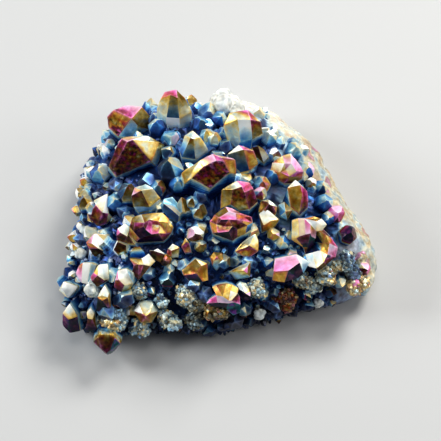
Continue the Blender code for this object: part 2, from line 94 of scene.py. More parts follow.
# Listed points: tip's place in the front view (right, up), width, length, lean (right, up), turn in
# degrees of the first wall from the view's right, cap (0 six even cap faces, 1 three).
POINTS = {
    "top_left": (-22.25, 26, 10.75, 9, -0.04, 0.4, -32, 0.4),
    "big_dark": (-22.5, 19.75, 12.5, 10, 0.08, 0.42, -67, 0.35),
    "top": (-11.75, 31.25, 7.75, 10, 0, 0.6, -90, 0.3),
    "olive_tent": (-7.25, 20.75, 5.75, 7.5, -0.08, 0.5, -92, 0.3),
    "lilac": (-12.25, 20.75, 4, 5, 0.1, 0.1, 215, 0.6),
    "grey_tent": (-13, 14.75, 6, 7.5, -0.12, 0.5, -95, 0.3),
    "crown": (0.5, 15.5, 11.25, 12, 0.18, 0.56, -115, 0.3),
    "heart": (5, 8.25, 8.5, 9, 0.02, 0.42, -105, 0.3),
    "stepped": (2.25, 1.5, 10, 9, -0.04, 0.45, -108, 0.3),
    "wedge": (7.75, -6, 5.25, 5.5, 0.1, 0.05, -110, 1),
    "shoulder": (6.25, 17.5, 6.75, 8.5, 0.15, 0.5, -110, 0.2),
    "small_gold": (9.75, 19.5, 4.5, 6.5, -0.1, 0.55, -60, 0.3),
    "pale_tower": (6.5, 25.5, 8.75, 9, 0.05, 0.5, -90, 0.2),
    "cream_a": (-3.5, 22.25, 3.5, 5.5, 0, 0.5, -80, 0.2),
    "cream_b": (-1.25, 21.5, 3.25, 5.5, 0.1, 0.5, -95, 0.2),
    "grey_blue": (-5, 25, 4, 5, 0, 0.4, -60, 0.4),
    "gold_pink": (17, 15, 8.25, 8.5, 0.02, 0.4, -72, 0.3),
    "leaning": (20.25, 8, 5, 9, 0.18, 0.6, -105, 0.3),
    "white_bead": (22.75, 9.5, 2.75, 4, 0.1, 0.1, -60, 0.3),
    "little_tent": (16, 2.75, 3.75, 5, 0, 0.1, -60, 0.4),
    "bitten": (12, 4, 4.5, 5.5, 0.1, 0.4, -75, 0.4),
    "cream_block": (11.25, 0.5, 4.5, 5, 0, 0.1, -50, 0.4),
    "bright": (22.75, -3.25, 7.5, 7, 0.1, -0.05, 165, 1),
    "arc": (24, -9.5, 6.25, 6, 0.15, -0.2, 120, 0.5),
    "pink": (16.75, -12.75, 6.5, 6.5, 0, -0.15, 100, 0.5),
    "low_wedge": (6.5, -12.25, 5, 5.5, 0.25, 0.05, -120, 1),
    "three_sided": (-5.75, -13.25, 6.25, 6, 0.1, -0.1, 135, 1),
    "drop": (-1.25, -9.25, 2.75, 4, 0, 0.2, -90, 0.2),
    "front_gold": (2.25, -20, 7.75, 8, 0.1, -0.2, 120, 0.3),
    "front_cream": (7.25, -18, 4.5, 5.5, 0.1, -0.1, 110, 0.5),
    "low_white": (10, -24.25, 3.25, 4, 0.05, -0.3, 100, 0.4),
    "bead_right": (24.5, -21.25, 2.5, 3, 0, -0.4, 90, 0.2),
    "right_lump": (34.5, -17, 6, 6, 0.25, -0.2, 80, 0.2),
    "right_pink_a": (36, -9.5, 3.75, 4.5, 0.4, 0, 60, 0.3),
    "right_pink_b": (36.5, -12.25, 3.5, 4.5, 0.4, -0.1, 90, 0.3),
    "right_bud": (29.25, -11.5, 2.75, 4, 0.1, -0.1, 80, 0.3),
    "right_pair_a": (29.25, 1.75, 4.25, 5, 0.2, 0.05, 90, 0.4),
    "right_pair_b": (32.5, -3, 4.25, 5, 0.25, 0.2, -110, 0.4),
    "blue_a": (26.25, 5, 4, 5, 0.15, 0.2, -70, 0.2),
    "blue_b": (27, 0.75, 3, 4, 0.1, 0.1, -60, 0.3),
    "magenta": (-17, -0.75, 9.75, 7, 0, 0.34, -90, 0.4),
    "cream_cap": (-25.5, -3.75, 4.5, 6, -0.2, -0.1, 60, 0.5),
    "gold_right": (-19.25, 6.75, 6.5, 7.5, -0.12, 0.45, -95, 0.3),
    "dark_left": (-23, 8.5, 4.75, 6.5, 0.05, 0.5, -90, 0.2),
    "white_tri": (-29.25, 2.5, 5, 6, -0.05, -0.05, 105, 1),
    "white_oval": (-34.25, -2.5, 3, 4.5, -0.25, 0.1, 20, 0.2),
    "white_wing": (-32.75, -6.25, 5, 6, -0.4, -0.12, 45, 0.6),
    "striped": (-20.25, -7, 3.5, 5, 0, 0.35, -90, 0.2),
    "maroon": (-20.5, -11.25, 5.75, 6, 0, 0, -80, 0.3),
    "white_a": (-35.5, -8.5, 3.25, 4.5, -0.2, 0, 40, 0.3),
    "white_b": (-35.5, -14, 5, 6, -0.38, -0.08, 30, 0.5),
    "white_c": (-31.25, -13.75, 5, 6, -0.3, -0.1, 40, 0.5),
    "white_tip": (-40, -17.25, 4.75, 6.5, -0.65, -0.1, 0, 0.6),
    "white_d": (-32.25, -18, 3.75, 4.5, -0.1, -0.1, 70, 0.3),
    "white_e": (-29.75, -19.75, 4.5, 5.5, -0.12, -0.25, 60, 0.5),
    "white_f": (-25.75, -15.25, 5, 6, -0.28, -0.2, 50, 0.5),
    "corner": (-38.25, -24.5, 5.25, 6.5, -0.35, -0.35, 70, 0.6),
    "corner_b": (-32.5, -24.25, 4, 5.5, -0.1, -0.4, 80, 0.5),
    "edge_a": (-37.75, -10.5, 2, 3.5, -0.4, 0.1, 0, 0.2),
    "edge_b": (-37.25, -13.75, 2, 3.5, -0.3, -0.1, 0, 0.2),
    "pale_left": (-30.5, 12.5, 4.75, 6, -0.15, 0.25, -100, 0.3),
    "pale_left_b": (-32.5, 12.25, 3.25, 4.5, -0.3, 0.2, -120, 0.3),
    "lilac_left": (-28, 19.5, 2.75, 4, -0.2, 0.3, -90, 0.3),
    "upright": (-34, 5.75, 3.75, 7, -0.15, 0.5, -90, 0.3),
    "upright_b": (-32.25, 4, 2.75, 6, -0.05, 0.4, -90, 0.3),
    "tail": (-28.25, -32.75, 6, 9, -0.05, -0.72, 90, 0.4),
    "olive_low": (-18.5, -23.5, 5.25, 6, 0, -0.25, 90, 0.3),
    "knob_a": (-14.5, -20, 3, 4.5, 0, 0.1, 90, 0.2),
    "knob_b": (-14, -25.5, 4.75, 5, 0.05, -0.25, 60, 0.2),
    "knob_c": (-11.25, -25.75, 3.75, 4.5, 0.1, -0.3, 90, 0.2),
    "column": (-8.75, -17.5, 5.25, 7.5, 0, 0.35, -90, 0.2),
    "knob_d": (-6.5, -25.5, 4, 4.5, 0, -0.3, 60, 0.2),
    "ringed": (16.5, -21, 5.75, 5.5, 0.05, -0.25, 100, 0.4),
    "sparkle": (-6.25, -3.25, 4, 5, 0, 0.1, -70, 0.5),
    "bud_a": (-8.25, -5.25, 2.75, 4.5, -0.1, 0.15, -60, 0.3),
    "bud_b": (-5, -6, 3, 4, 0, 0.1, -60, 0.3),
    "bud_c": (-12, -7.5, 3, 4, 0, 0, -100, 0.4),
    "bud_d": (-13.75, -10, 2.75, 4, 0, -0.1, -80, 0.3),
    "blade_a": (-9.75, 5.75, 2.75, 6, -0.1, 0.45, -80, 0.3),
    "blade_b": (-7, 5.5, 3, 6, 0.05, 0.45, -100, 0.3),
    "navy": (-13, 4.25, 5, 6, -0.2, 0.35, -70, 0.4),
    "olive_small": (-5.25, 3, 3.75, 5, 0.05, 0.3, -100, 0.3),
    "bead_a": (13, -3.25, 3, 4.5, -0.05, 0.1, -60, 0.4),
    "bead_b": (15.75, -5.25, 3.25, 4.5, 0.05, 0.05, -80, 0.3),
    "rim_a": (12.25, 21.25, 3.75, 4.5, 0.1, 0.3, -70, 0.3),
    "rim_b": (22, 13.25, 4, 4.5, 0.2, 0.25, -80, 0.3),
    "rim_c": (25.5, 8.75, 3.25, 4.5, 0.2, 0.2, -90, 0.2),
    "rim_d": (18.75, 18.25, 4, 4.5, 0.15, 0.3, -80, 0.3),
    "mid_a": (10.5, 9.75, 3.75, 5, 0.05, 0.3, -90, 0.3),
    "mid_b": (13.25, 11.75, 3.5, 5, 0.1, 0.3, -70, 0.3),
    "mid_c": (10.25, 7.25, 3.25, 5, 0.15, 0.25, -110, 0.3),
    "slope_a": (-26.25, 5.25, 4, 6, 0, 0.25, -60, 0.3),
    "slope_b": (-15.5, 8.75, 3.75, 5.5, 0, 0.3, -90, 0.3),
    "slope_c": (-10.75, 9.75, 3.75, 5.5, 0.05, 0.3, -80, 0.3),
    "gap_a": (-16, 24.5, 4, 6, -0.05, 0.45, -100, 0.3),
    "rim_lump_a": (-0.25, 31.25, 5.25, 5, -0.1, 0.3, -90, 0.1),
    "rim_lump_b": (2.75, 31, 5.25, 5, 0.1, 0.3, -60, 0.1),
    "right_grey": (31.5, -10, 4.25, 4.5, 0.2, 0, 30, 0.3),
    "right_blue": (33.25, -13.5, 4, 4, 0.2, -0.1, 60, 0.3),
}
# More lumps and a crystal that only the visible model has, given in the same way.
EXTRAS = {
    "tail_lump": (-26.5, -28, 6.5, 5, 0.05, -0.45, 90, 0.1),
    "tail_lump_b": (-29.5, -27, 3.75, 4, 0, -0.45, 90, 0.1),
    "tail_lump_c": (-25.25, -25, 5.25, 4, 0, -0.4, 90, 0.1),
    "tail_lump_d": (-20.75, -27.5, 5.25, 4, 0, -0.45, 90, 0.1),
    "front_lump": (-1, -22.5, 6, 5, 0, -0.3, 90, 0.1),
    "front_lump_b": (-6.25, -22, 4.5, 4.5, 0, -0.2, 90, 0.1),
    "front_lump_c": (-20.75, -17.25, 4.75, 4, 0, 0, 90, 0.1),
    "granular_a": (20.75, -15, 4.75, 4.5, 0.1, 0, 90, 0.1),
    "granular_b": (26.5, -14, 4.75, 4.5, 0.15, -0.1, 90, 0.1),
    "granular_d": (23.75, -17, 4.25, 4, 0.15, -0.2, 90, 0.1),
    "granular_c": (8.75, -17.25, 4.25, 4, 0.1, -0.2, 90, 0.1),
    "rim_lump_c": (1.5, 28.75, 6.5, 4, 0, 0.3, -90, 0.1),
    "rim_lump_d": (4.75, 27.75, 5.25, 3, 0, 0.3, -90, 0.1),
    "khaki_wedge": (-16.5, -7.5, 4, 5, 0, 0, 90, 0.1),
}

# Smaller points scattered between them and over the back and the ends.
SCATTER_TRIES = 9000
SCATTER_WIDTH = (2.4, 4.6)
SCATTER_LENGTH = (0.85, 1.25)  # in widths
SCATTER_SPACING = 0.55  # least distance between two feet, in the sum of their widths
SCATTER_TILT = 0.3
SCATTER_LOWEST = 4.5
SCATTER_COUNT = 68
WALL_SHARE = 0.72  # how much smaller the points on the steep sides are
STEEP = radians(50)
# The bare rind of the matrix: compass range in plan, from +X, and the height it ends at.
RIND_FROM, RIND_TO, RIND_TOP = radians(-35), radians(105), 21.5
# In the visible model its edges are soft: each edge, and how far the change begins before and ends after it.
RIND_EDGES = ((RIND_FROM, 0.1, 0.15), (RIND_TO, 0.1, 0.2), (RIND_TOP, 1.5, 1.0))

MERGE = 0.02  # corners of a crystal closer than this are one (mm)
SLACK = 2e-4  # a corner this far outside a plane still counts as on it (mm)
PARALLEL = 1e-4  # planes whose determinant is under this don't meet in a corner

# ---------------------------------------------------------------- colours of the film, and painted light and shade
# The film's colour by thickness, thinnest first: place on the scale, then red, green and blue (linear).
FILM = (
    (0.00, (0.002, 0.005, 0.022)), (0.08, (0.003, 0.016, 0.085)), (0.16, (0.007, 0.060, 0.280)),
    (0.24, (0.028, 0.200, 0.560)), (0.32, (0.180, 0.520, 0.780)), (0.40, (0.620, 0.860, 0.860)),
    (0.46, (0.930, 0.900, 0.600)), (0.52, (0.980, 0.680, 0.150)), (0.58, (0.700, 0.370, 0.020)),
    (0.64, (0.700, 0.180, 0.010)), (0.70, (0.480, 0.030, 0.015)), (0.76, (0.520, 0.012, 0.110)),
    (0.82, (0.900, 0.050, 0.400)), (0.88, (0.950, 0.280, 0.680)), (0.94, (0.180, 0.030, 0.380)),
    (1.00, (0.010, 0.130, 0.160)),
)

# A face's tone: film at its lower edge and at the tip, brightness, share of white mixed in, and mottling.
# Their brightness is partly the film's own and partly painted: the darkest tones mostly stand for faces in
# shade, and values above 1 are painted highlights.
TONES = {
    "navy": (0.03, 0.09, 0.9, 0, 0.2), "blue": (0.11, 0.22, 1.1, 0, 0.2), "ice": (0.24, 0.38, 0.9, 0, 0.2),
    "pearl": (0.36, 0.44, 0.85, 0.1, 0.2), "white": (0.42, 0.46, 1.25, 0.85, 0.1),
    "cream": (0.42, 0.49, 0.85, 0.1, 0.15), "gold": (0.5, 0.58, 0.95, 0, 0.3),
    "bright_gold": (0.48, 0.53, 1.15, 0.1, 0.2), "pale_gold": (0.45, 0.53, 0.95, 0, 0.2),
    "olive": (0.53, 0.6, 0.4, 0, 0.5), "khaki": (0.49, 0.56, 0.22, 0, 0.5),
    "slate": (0.14, 0.3, 0.25, 0.05, 0.3), "orange": (0.56, 0.65, 0.95, 0, 0.5),
    "copper": (0.61, 0.68, 0.45, 0, 1), "brown": (0.6, 0.66, 0.08, 0, 1.2),
    "maroon": (0.66, 0.71, 0.12, 0, 1.4), "crimson": (0.68, 0.77, 0.42, 0, 1),
    "mottled": (0.645, 0.755, 0.26, 0, 2.2), "magenta": (0.74, 0.82, 0.85, 0, 0.7),
    "pink": (0.81, 0.86, 1.05, 0.05, 0.3), "hot_pink": (0.8, 0.85, 1.3, 0, 0.2),
    "rose": (0.85, 0.89, 1, 0.4, 0.2), "violet": (0.88, 0.95, 0.22, 0, 0.5),
    "lilac": (0.91, 0.93, 0.85, 0.6, 0.1), "teal": (0.97, 1, 0.5, 0, 0.8),
    "dusk": (0.93, 0.98, 0.05, 0, 0.5), "peach": (0.54, 0.58, 1.2, 0.4, 0.15),
    "ember": (0.62, 0.69, 0.24, 0, 2), "opal": (0.42, 0.51, 1.25, 0.15, 1.5),
}

# Tones of the listed points, by the direction in which a face looks in the front view: degrees from
# the view's right. A face takes the nearest tone.
# Dark tones go on faces turned down and pale, bright ones on faces turned up or right: painted shade and
# painted light by direction, beside the film's colours.
LOOKS = {
    "lilac": "0:lilac -90:lilac 180:ice",
    "grey_tent": "-155:slate -95:slate -35:ice 25:cream 85:cream 145:slate",
    "cream_a": "-80:pale_gold 0:cream 100:cream 180:ice",
    "cream_b": "-95:cream 0:gold 100:cream 180:pearl",
    "grey_blue": "-60:slate 60:ice 180:blue",
    "white_bead": "0:white 90:white 180:cream -90:gold",
    "bitten": "-135:gold -75:maroon -15:orange 45:cream 105:cream 165:orange",
    "right_pink_b": "90:rose 0:pink 180:cream -90:maroon",
    "right_pair_a": "90:rose 0:magenta 180:hot_pink -90:maroon",
    "right_pair_b": "90:violet 0:maroon 180:copper -90:dusk",
    "blue_a": "90:ice 0:pearl -90:blue 180:ice",
    "blue_b": "90:cream 0:blue -90:blue 180:ice",
    "dark_left": "-90:khaki 90:ice 180:slate 0:khaki",
    "edge_a": "90:ice 0:cream 180:white -90:slate",
    "edge_b": "90:white 0:cream 180:white -90:slate",
    "pale_left": "90:pearl 0:cream -90:ice 180:blue",
    "pale_left_b": "90:white 0:pearl -90:ice 180:ice",
    "lilac_left": "90:lilac 0:pearl -90:ice 180:lilac",
    "upright": "-90:khaki 0:pale_gold 90:cream 180:slate",
    "upright_b": "-90:pearl 0:white 90:white 180:cream",
    "tail": "90:brown 0:teal -47:teal -90:maroon 180:maroon",
    "olive_low": "90:cream 30:cream -30:olive -90:olive -150:copper 150:white",
    "sparkle": "90:white 0:cream 180:rose -90:maroon",
    "bud_b": "90:pearl 0:olive 180:cream -90:khaki",
    "bud_d": "90:gold 0:olive 180:brown -90:brown",
    "blade_b": "180:pearl -90:khaki 0:ice 90:ice",
    "olive_small": "90:ice 0:khaki 180:ice -90:khaki",
    "bead_a": "90:cream 0:rose 180:pale_gold -90:gold",
    "bead_b": "90:ice 0:blue 180:cream -90:pearl",
    "rim_a": "90:white 0:cream 180:pearl -90:ice",
    "rim_b": "90:cream 0:rose 180:pearl -90:blue",
    "rim_c": "90:ice 0:cream 180:ice -90:slate",
    "rim_d": "90:cream 0:pearl 180:ice -90:ice",
    "mid_a": "90:cream 0:orange 180:ice -90:copper",
    "mid_b": "90:ice 0:slate 180:blue -90:blue",
    "mid_c": "90:rose 0:cream 180:pearl -90:crimson",
    "slope_a": "90:ice 0:slate 180:ice -90:blue",
    "slope_b": "90:cream 0:olive 180:ice -90:slate",
    "slope_c": "90:ice 0:pearl 180:blue -90:ice",
    "gap_a": "90:pearl 0:blue 180:ice -90:blue",
}

# Points that are rough lumps of fine grains rather than clean crystals: film, brightness, paleness, and how
# rough they are.
LUMPS = {
    "knob_a": (0.38, 0.85, 0.3, 1), "knob_b": (0.41, 0.95, 0.4, 1), "knob_c": (0.37, 0.9, 0.35, 1),
    "knob_d": (0.42, 0.35, 0.2, 1), "column": (0.42, 0.85, 0.3, 1), "ringed": (0.64, 0.35, 0, 1),
    "right_lump": (0.53, 0.95, 0.22, 0.8), "rim_lump_a": (0.45, 1.1, 0.8, 0.35),
    "rim_lump_b": (0.45, 1.1, 0.8, 0.35), "rim_lump_c": (0.45, 1.1, 0.8, 0.35),
    "rim_lump_d": (0.45, 1.05, 0.7, 0.35), "tail_lump": (0.51, 0.95, 0.05, 1),
    "tail_lump_b": (0.43, 1, 0.45, 0.8), "tail_lump_c": (0.36, 0.85, 0.25, 0.8),
    "tail_lump_d": (0.38, 0.8, 0.3, 0.8), "front_lump": (0.55, 0.4, 0, 1),
    "front_lump_b": (0.45, 0.4, 0.1, 1), "front_lump_c": (0.38, 0.65, 0.3, 1),
    "granular_a": (0.44, 0.65, 0.2, 1), "granular_b": (0.46, 0.9, 0.25, 1),
    "granular_d": (0.4, 0.65, 0.25, 1), "granular_c": (0.42, 0.75, 0.2, 1), "white_d": (0.42, 1, 0.6, 0.5),
    "low_white": (0.41, 1.1, 0.7, 0.4), "bead_right": (0.42, 1.1, 0.7, 0.4),
    "right_grey": (0.32, 0.6, 0.3, 0.8), "right_blue": (0.28, 0.5, 0.3, 0.8),
    "right_pink_a": (0.48, 0.8, 0.35, 0.55), "right_bud": (0.47, 0.95, 0.3, 1),
    "white_a": (0.42, 1.1, 0.65, 0.3), "white_oval": (0.41, 1.05, 0.65, 0.2),
}

# Listed points whose faces are sunk inside a raised rim: depth and rim width (mm).
HOPPERS = {"bitten": (0.9, 0.6), "sparkle": (0.4, 0.5)}
# The two soft steps: share of the depth, and where each begins and ends, in rim widths.
HOPPER_STEPS = ((0.6, 0.5, 1.0), (0.4, 1.5, 2.1))

# Crystals given facet by facet. A corner is a letter and its place in quarter millimetres: right and up in
# the front view, and how far it lies behind the crystal's tip. A facet is its corners' letters, its tone at
# its foot and, where it differs, its tone at its top.
QUARTER = 0.25
# The facets' tones follow how each facet looks under the lamps: darker on facets turned away from the light
# and paler and brighter on those turned to it, which is painted shade and painted light beside the film's
# colours.
FACETED = {
    "big_dark": (
        "A-93,79,0 M-88,81,0 K-99,82,5 B-105,72,9 C-112,54,17 L-108,51,15 D-104,44,20 E-69,59,11 F-61,78,14 "
        "G-56,76,20 H-64,54,20 I-74,85,11 J-91,84,7",
        "ALDEM:ember AKBCL:maroon:crimson CDL:orange:brown MEF:gold:bright_gold FEHG:ice:khaki "
        "AMIJK:ice:rose MFGI:khaki:pearl",
    ),
    "top_left": (
        "A-89,102,0 P-107,111,9 O-95,115,9 Q-78,114,7 L-113,104,12 N-112,93,17 S-102,84,20 M-94,95,7 "
        "W-83,95,7 R-68,101,14 U-72,91,18 V-84,85,20",
        "APOQ:magenta:rose AMSNLP:mottled:orange AQRUW:khaki:olive WUV:ice:khaki MAWVS:ice:cream",
    ),
    "top": (
        "A-50,126,0 Z-43,123,1 P-60,122,7 Q-64,111,12 S-63,95,18 T-56,129,6 U-44,131,6 C-54,103,8 "
        "D-41,102,9 V-35,122,8 W-29,109,14 X-30,95,20 B-55,88,18 E-40,88,19",
        "APTUZ:gold:pink AZDC:slate:olive ACQP:pearl:gold ZUVWD:cream:khaki CDEB:ice:white QCBS:blue:pearl "
        "DWXE:ice:cream",
    ),
    "crown": (
        "A1,63,0 M-4,60,2 N-17,54,6 O-29,42,13 P-10,32,16 Q9,48,9 R3,59,2 T-8,67,6 U-21,60,10 L-39,48,15 "
        "K-36,37,19 V15,61,8 W16,46,15",
        "MNOPQR:mottled ATMR:magenta:pink ARQWV:gold:orange MTUN:cream:rose NULKO:gold:pale_gold "
        "AVT:rose:cream",
    ),
    "heart": (
        "A21,34,0 M12,31,3 N10,16,9 O19,10,12 P29,11,11 Q24,28,2 L1,31,9 K0,12,15 T16,40,5 U30,38,7 "
        "V33,32,7 W37,19,13",
        "AMNOPQ:olive:mottled MLKN:gold:khaki ATLM:khaki:cream AQVUT:magenta:pink QPWV:maroon:crimson",
    ),
    "stepped": (
        "A5,14,8 B12,12,7 C21,7,6 D31,4,9 E32,-2,11 F27,-5,8 G31,-9,12 H25,-13,13 I17,-17,15 J12,-20,17 "
        "K2,-17,16 L-8,-13,14 M-11,-1,12 N-6,6,9 O-1,3,3 P8,9,2 Q15,7,2 R16,1,1 S8,1,0 T1,1,1 U-4,-4,8 "
        "V4,-6,8 W12,-6,6 X8,-11,4 Y-3,-12,5 Z17,-9,6",
        "NAPO:khaki:olive ABCQP:khaki:rose MNOU:crimson:orange MUYL:orange:gold OPQRST:hot_pink:lilac "
        "OTU:maroon:crimson TSVU:brown:dusk SWV:maroon:orange UVWXY:hot_pink:opal LYXJK:dusk "
        "XWZIJ:maroon:dusk QCDER:crimson:orange REF:gold:copper SRFZW:maroon:crimson ZFHI:khaki:gold "
        "FEGH:slate:ice",
    ),
    "magenta": (
        "A-88,3,10 B-79,6,9 C-68,7,8 D-58,8,8 E-52,2,8 F-47,-6,11 G-49,-12,12 H-57,-21,16 I-84,-22,16 "
        "J-91,-15,14 K-91,-6,11 L-86,-2,6 M-76,-2,2 N-71,1,0 O-62,-1,1 P-52,-2,5 Q-77,-6,6 R-60,-5,5 "
        "S-54,-13,7 T-62,-13,3 U-69,-14,3 V-75,-9,5 W-87,-11,11 X-81,-18,11 Y-68,-4,5",
        "ABML:khaki:pearl BCNM:olive:cream CDON:gold:cream DEPO:gold:bright_gold EFGSP:olive:pale_gold "
        "MNVQ:maroon:crimson NORY:crimson:orange NYUV:hot_pink:magenta YRTU:hot_pink:opal OPSR:orange:gold "
        "RST:gold:bright_gold TSGH:maroon:crimson UTHIX:dusk:maroon QVUXW:dusk LMQW:brown:magenta "
        "ALWK:brown:khaki KWXIJ:copper:gold",
    ),
    "olive_tent": (
        "A-30,83,0 M-27,82,0 B-39,63,10 C-25,61,11 D-12,71,11 E-19,83,6 T-28,90,5 L-36,85,6 K-41,69,12",
        "ABCM:slate:olive MCDE:pearl:pale_gold AMETL:cream:pearl ALKB:blue:cream",
    ),
    "shoulder": (
        "A23,71,0 T6,66,9 U18,76,5 B12,56,11 C20,48,14 D29,50,12 E38,57,12 F33,70,6",
        "ATBCD:slate:khaki AUT:cream:white ADEF:gold:orange AFU:cream:pink",
    ),
    "pale_tower": (
        "A17,101,0 B30,101,0 T9,108,7 U27,111,7 L3,95,9 K7,81,14 J16,73,18 M20,79,10 N32,81,10 O30,71,18 "
        "P42,87,13 Q40,99,8",
        "ATUB:cream:pink ALT:gold:pale_gold AMJKL:pearl:pale_gold ABNM:ice:white MNOJ:blue:ice "
        "BQPN:khaki:crimson BUQ:cream:magenta",
    ),
    "gold_pink": (
        "A62,65,5 B70,67,5 C76,60,4 D83,49,7 E82,43,10 F74,37,12 G64,37,11 H56,42,10 I50,49,9 J52,58,8 "
        "K64,57,1 L71,57,0 M76,49,2 N69,44,3 O60,48,3 P65,51,4",
        "JAK:olive:cream JKOI:gold:white ABLK:rose:cream BCML:hot_pink:rose CDM:pink:rose KLP:magenta:rose "
        "LMNP:bright_gold:white KPO:gold:cream PNO:hot_pink:bright_gold MDEN:copper:pink NEFG:brown:gold "
        "ONGH:copper:gold IOH:olive:gold",
    ),
    "leaning": (
        "A80,36,0 L67,33,6 B70,14,11 C79,5,14 M82,27,2 R88,14,13 Q87,30,5 T75,41,5",
        "ALBCM:olive:gold AMCRQ:maroon:hot_pink AQTL:cream:white",
    ),
    "bright": (
        "A90,-4,2 B90,-13,2 C78,2,4 D84,2,3 E72,0,6 F71,-19,8 G79,-16,4 H85,-14,3 J93,4,5 K101,2,7 "
        "L106,-4,8 M102,-10,7 N96,-11,3 O95,-18,8 P91,-16,6 Q96,-1,1 S85,-34,16 T83,-27,12 U76,-18,6 "
        "V87,-27,12 W94,-23,12",
        "ECGUF:bright_gold CDHG:peach DABH:rose:hot_pink DJKQ:khaki:olive ADQN:cream:white "
        "QKLMN:cream:white ANOPB:rose:pale_gold GHBVTU:dusk:maroon BPOWV:dusk:teal TVS:brown:khaki VWS:dusk "
        "FUT:gold:bright_gold",
    ),
    "pink": (
        "A54,-38,6 B76,-34,6 C79,-42,3 D68,-50,0 E53,-51,6 F89,-42,11 G83,-53,11 H77,-58,10 I64,-62,11 "
        "J52,-60,13",
        "ABCDE:hot_pink:rose BFGC:ice:white CGHD:dusk DHI:dusk:violet EDIJ:gold:orange",
    ),
    "front_gold": (
        "A-8,-67,8 B-4,-65,7 C-1,-70,4 D2,-76,2 E-4,-75,4 F6,-63,6 G12,-64,6 H18,-68,6 I17,-73,4 J11,-80,0 "
        "K8,-80,1 L-14,-83,9 M-11,-79,8 N-3,-82,5 O8,-83,3 P19,-76,7 Q20,-84,10 R14,-82,4 S20,-92,13 "
        "T13,-95,13 U6,-88,9 V-8,-86,10 W10,-70,2",
        "ABCDE:gold:bright_gold BFDC:khaki:olive DFWK:gold:pale_gold FGW:gold:khaki GHIW:bright_gold:gold "
        "WIJK:cream:white LMEN:magenta:hot_pink EDKON:rose:lilac IPQRJ:magenta:maroon KJRO:rose ORQSTU:teal "
        "LNOUV:dusk",
    ),
    "gold_right": (
        "A-79,30,0 B-89,25,7 C-87,14,12 D-71,13,10 E-60,22,10 F-67,32,5 G-63,12,15 H-82,8,16 T-75,37,6 "
        "U-86,33,6",
        "ABCD:khaki:maroon ADEF:gold:cream CHGED:ice:white AFTU:pearl:cream AUB:rose:gold",
    ),
    "navy": (
        "A-57,17,0 B-48,15,3 C-39,7,8 D-41,4,9 E-49,11,4 F-58,13,3 G-57,22,4 H-48,24,6 I-40,15,8 J-42,-2,12 "
        "K-53,3,9 L-61,15,8",
        "ABCDE:pearl:white ABCIHG:ice AEDJKF:slate:navy AFKLG:slate:ice",
    ),
    "blade_a": (
        "A-39,24,0 B-44,17,5 C-43,7,9 D-38,8,7 E-35,8,7 F-30,10,8 G-33,20,4 H-23,12,9 I-30,20,6",
        "ABCD:ice:pearl ADE:bright_gold:gold AEFG:khaki GFHI:ice:pearl",
    ),
    "white_tri": (
        "A-118,8,0 B-125,16,3 C-113,27,6 D-112,7,5 E-128,12,5 F-131,1,9 G-123,-6,12 H-114,-4,10 I-108,3,9 "
        "J-127,20,7",
        "ABC:cream:white ACD:white BJC:pearl:white ABEFG:brown:copper AGHD:maroon:crimson DHI:khaki:cream",
    ),
    "white_wing": (
        "A-129,-23,0 B-122,-28,1 C-115,-32,6 D-113,-14,6 E-126,-13,5 F-135,-22,6 G-132,-28,5 H-124,-39,12",
        "AEDCB:cream:white AFE:gold:rose ABGF:orange:gold GBCH:khaki:brown",
    ),
    "white_b": (
        "H-142,-45,6 A-138,-42,2 M-130,-42,0 C-124,-44,7 D-128,-54,6 E-129,-64,9 N-133,-64,5 F-139,-63,5 "
        "G-145,-53,7",
        "HAFG:rose:gold AMNF:white MCDEN:ice:pearl",
    ),
    "white_c": (
        "A-123,-55,0 B-122,-44,4 C-113,-43,5 D-111,-59,5 E-116,-60,5 F-127,-52,3 G-130,-56,6 H-129,-61,7 "
        "J-124,-67,11",
        "ABCDE:cream:white AFB:gold:cream AFGH:crimson:hot_pink AEJH:brown:maroon EDJ:khaki:brown",
    ),
    "white_f": (
        "A-102,-59,1 B-103,-50,5 C-94,-48,4 D-87,-52,6 E-87,-63,7 F-96,-65,3 G-106,-60,5 H-107,-67,9 "
        "J-99,-72,12 K-91,-70,12 M-93,-52,3",
        "ABCMEF:cream:white CDEM:ice:pearl ABG:rose:pink AFJHG:brown:crimson FEKJ:khaki:cream",
    ),
    "white_tip": (
        "A-159,-67,0 B-157,-61,5 C-143,-66,6 D-146,-71,5 E-153,-78,6 F-162,-70,8",
        "ABCDE:white AEF:cream:white ABF:pearl:cream",
    ),
    "corner": (
        "A-158,-93,3 B-151,-83,4 C-143,-96,5 D-152,-99,2 K-158,-105,10 J-151,-113,15 L-140,-111,14",
        "BCDA:gold:white ADJK:dusk:violet DCLJ:dusk",
    ),
    "corner_b": (
        "A-130,-87,3 B-126,-93,4 C-128,-99,1 D-133,-98,2 E-134,-92,4 F-136,-111,13 G-123,-111,13",
        "AEDCB:cream:white DFGC:dusk:brown CGB:khaki",
    ),
    "white_e": (
        "A-119,-75,1 B-116,-65,4 C-111,-72,5 D-113,-77,2 E-118,-80,1 F-123,-77,4 H-125,-91,14 J-110,-91,14",
        "ABCD:cream:white AFB:cream:white AFED:gold:bright_gold FHJE:dusk EJD:violet:maroon DJC:khaki:gold",
    ),
    "cream_cap": (
        "A-100,-12,0 B-103,-8,3 C-96,-3,5 D-91,-7,5 E-93,-16,3 F-104,-15,4 G-102,-30,13 H-91,-29,13",
        "ABCDE:cream:white ABF:magenta:pink AFGE:brown:maroon EGH:khaki:brown EHD:brown:khaki",
    ),
    "maroon": (
        "A-82,-44,0 B-91,-38,5 C-87,-45,3 D-77,-44,1 E-70,-46,4 F-65,-41,5 G-72,-33,4 H-79,-38,3 "
        "J-82,-60,14 K-89,-53,10",
        "ACB:pink:gold ABHD:cream:khaki DHGFE:bright_gold:white ACKJ:maroon ADJ:maroon:crimson "
        "DEJ:maroon:brown",
    ),
    "striped": (
        "A-86,-26,1 B-80,-26,1 C-76,-31,4 D-90,-31,4 E-91,-37,9 F-74,-37,9",
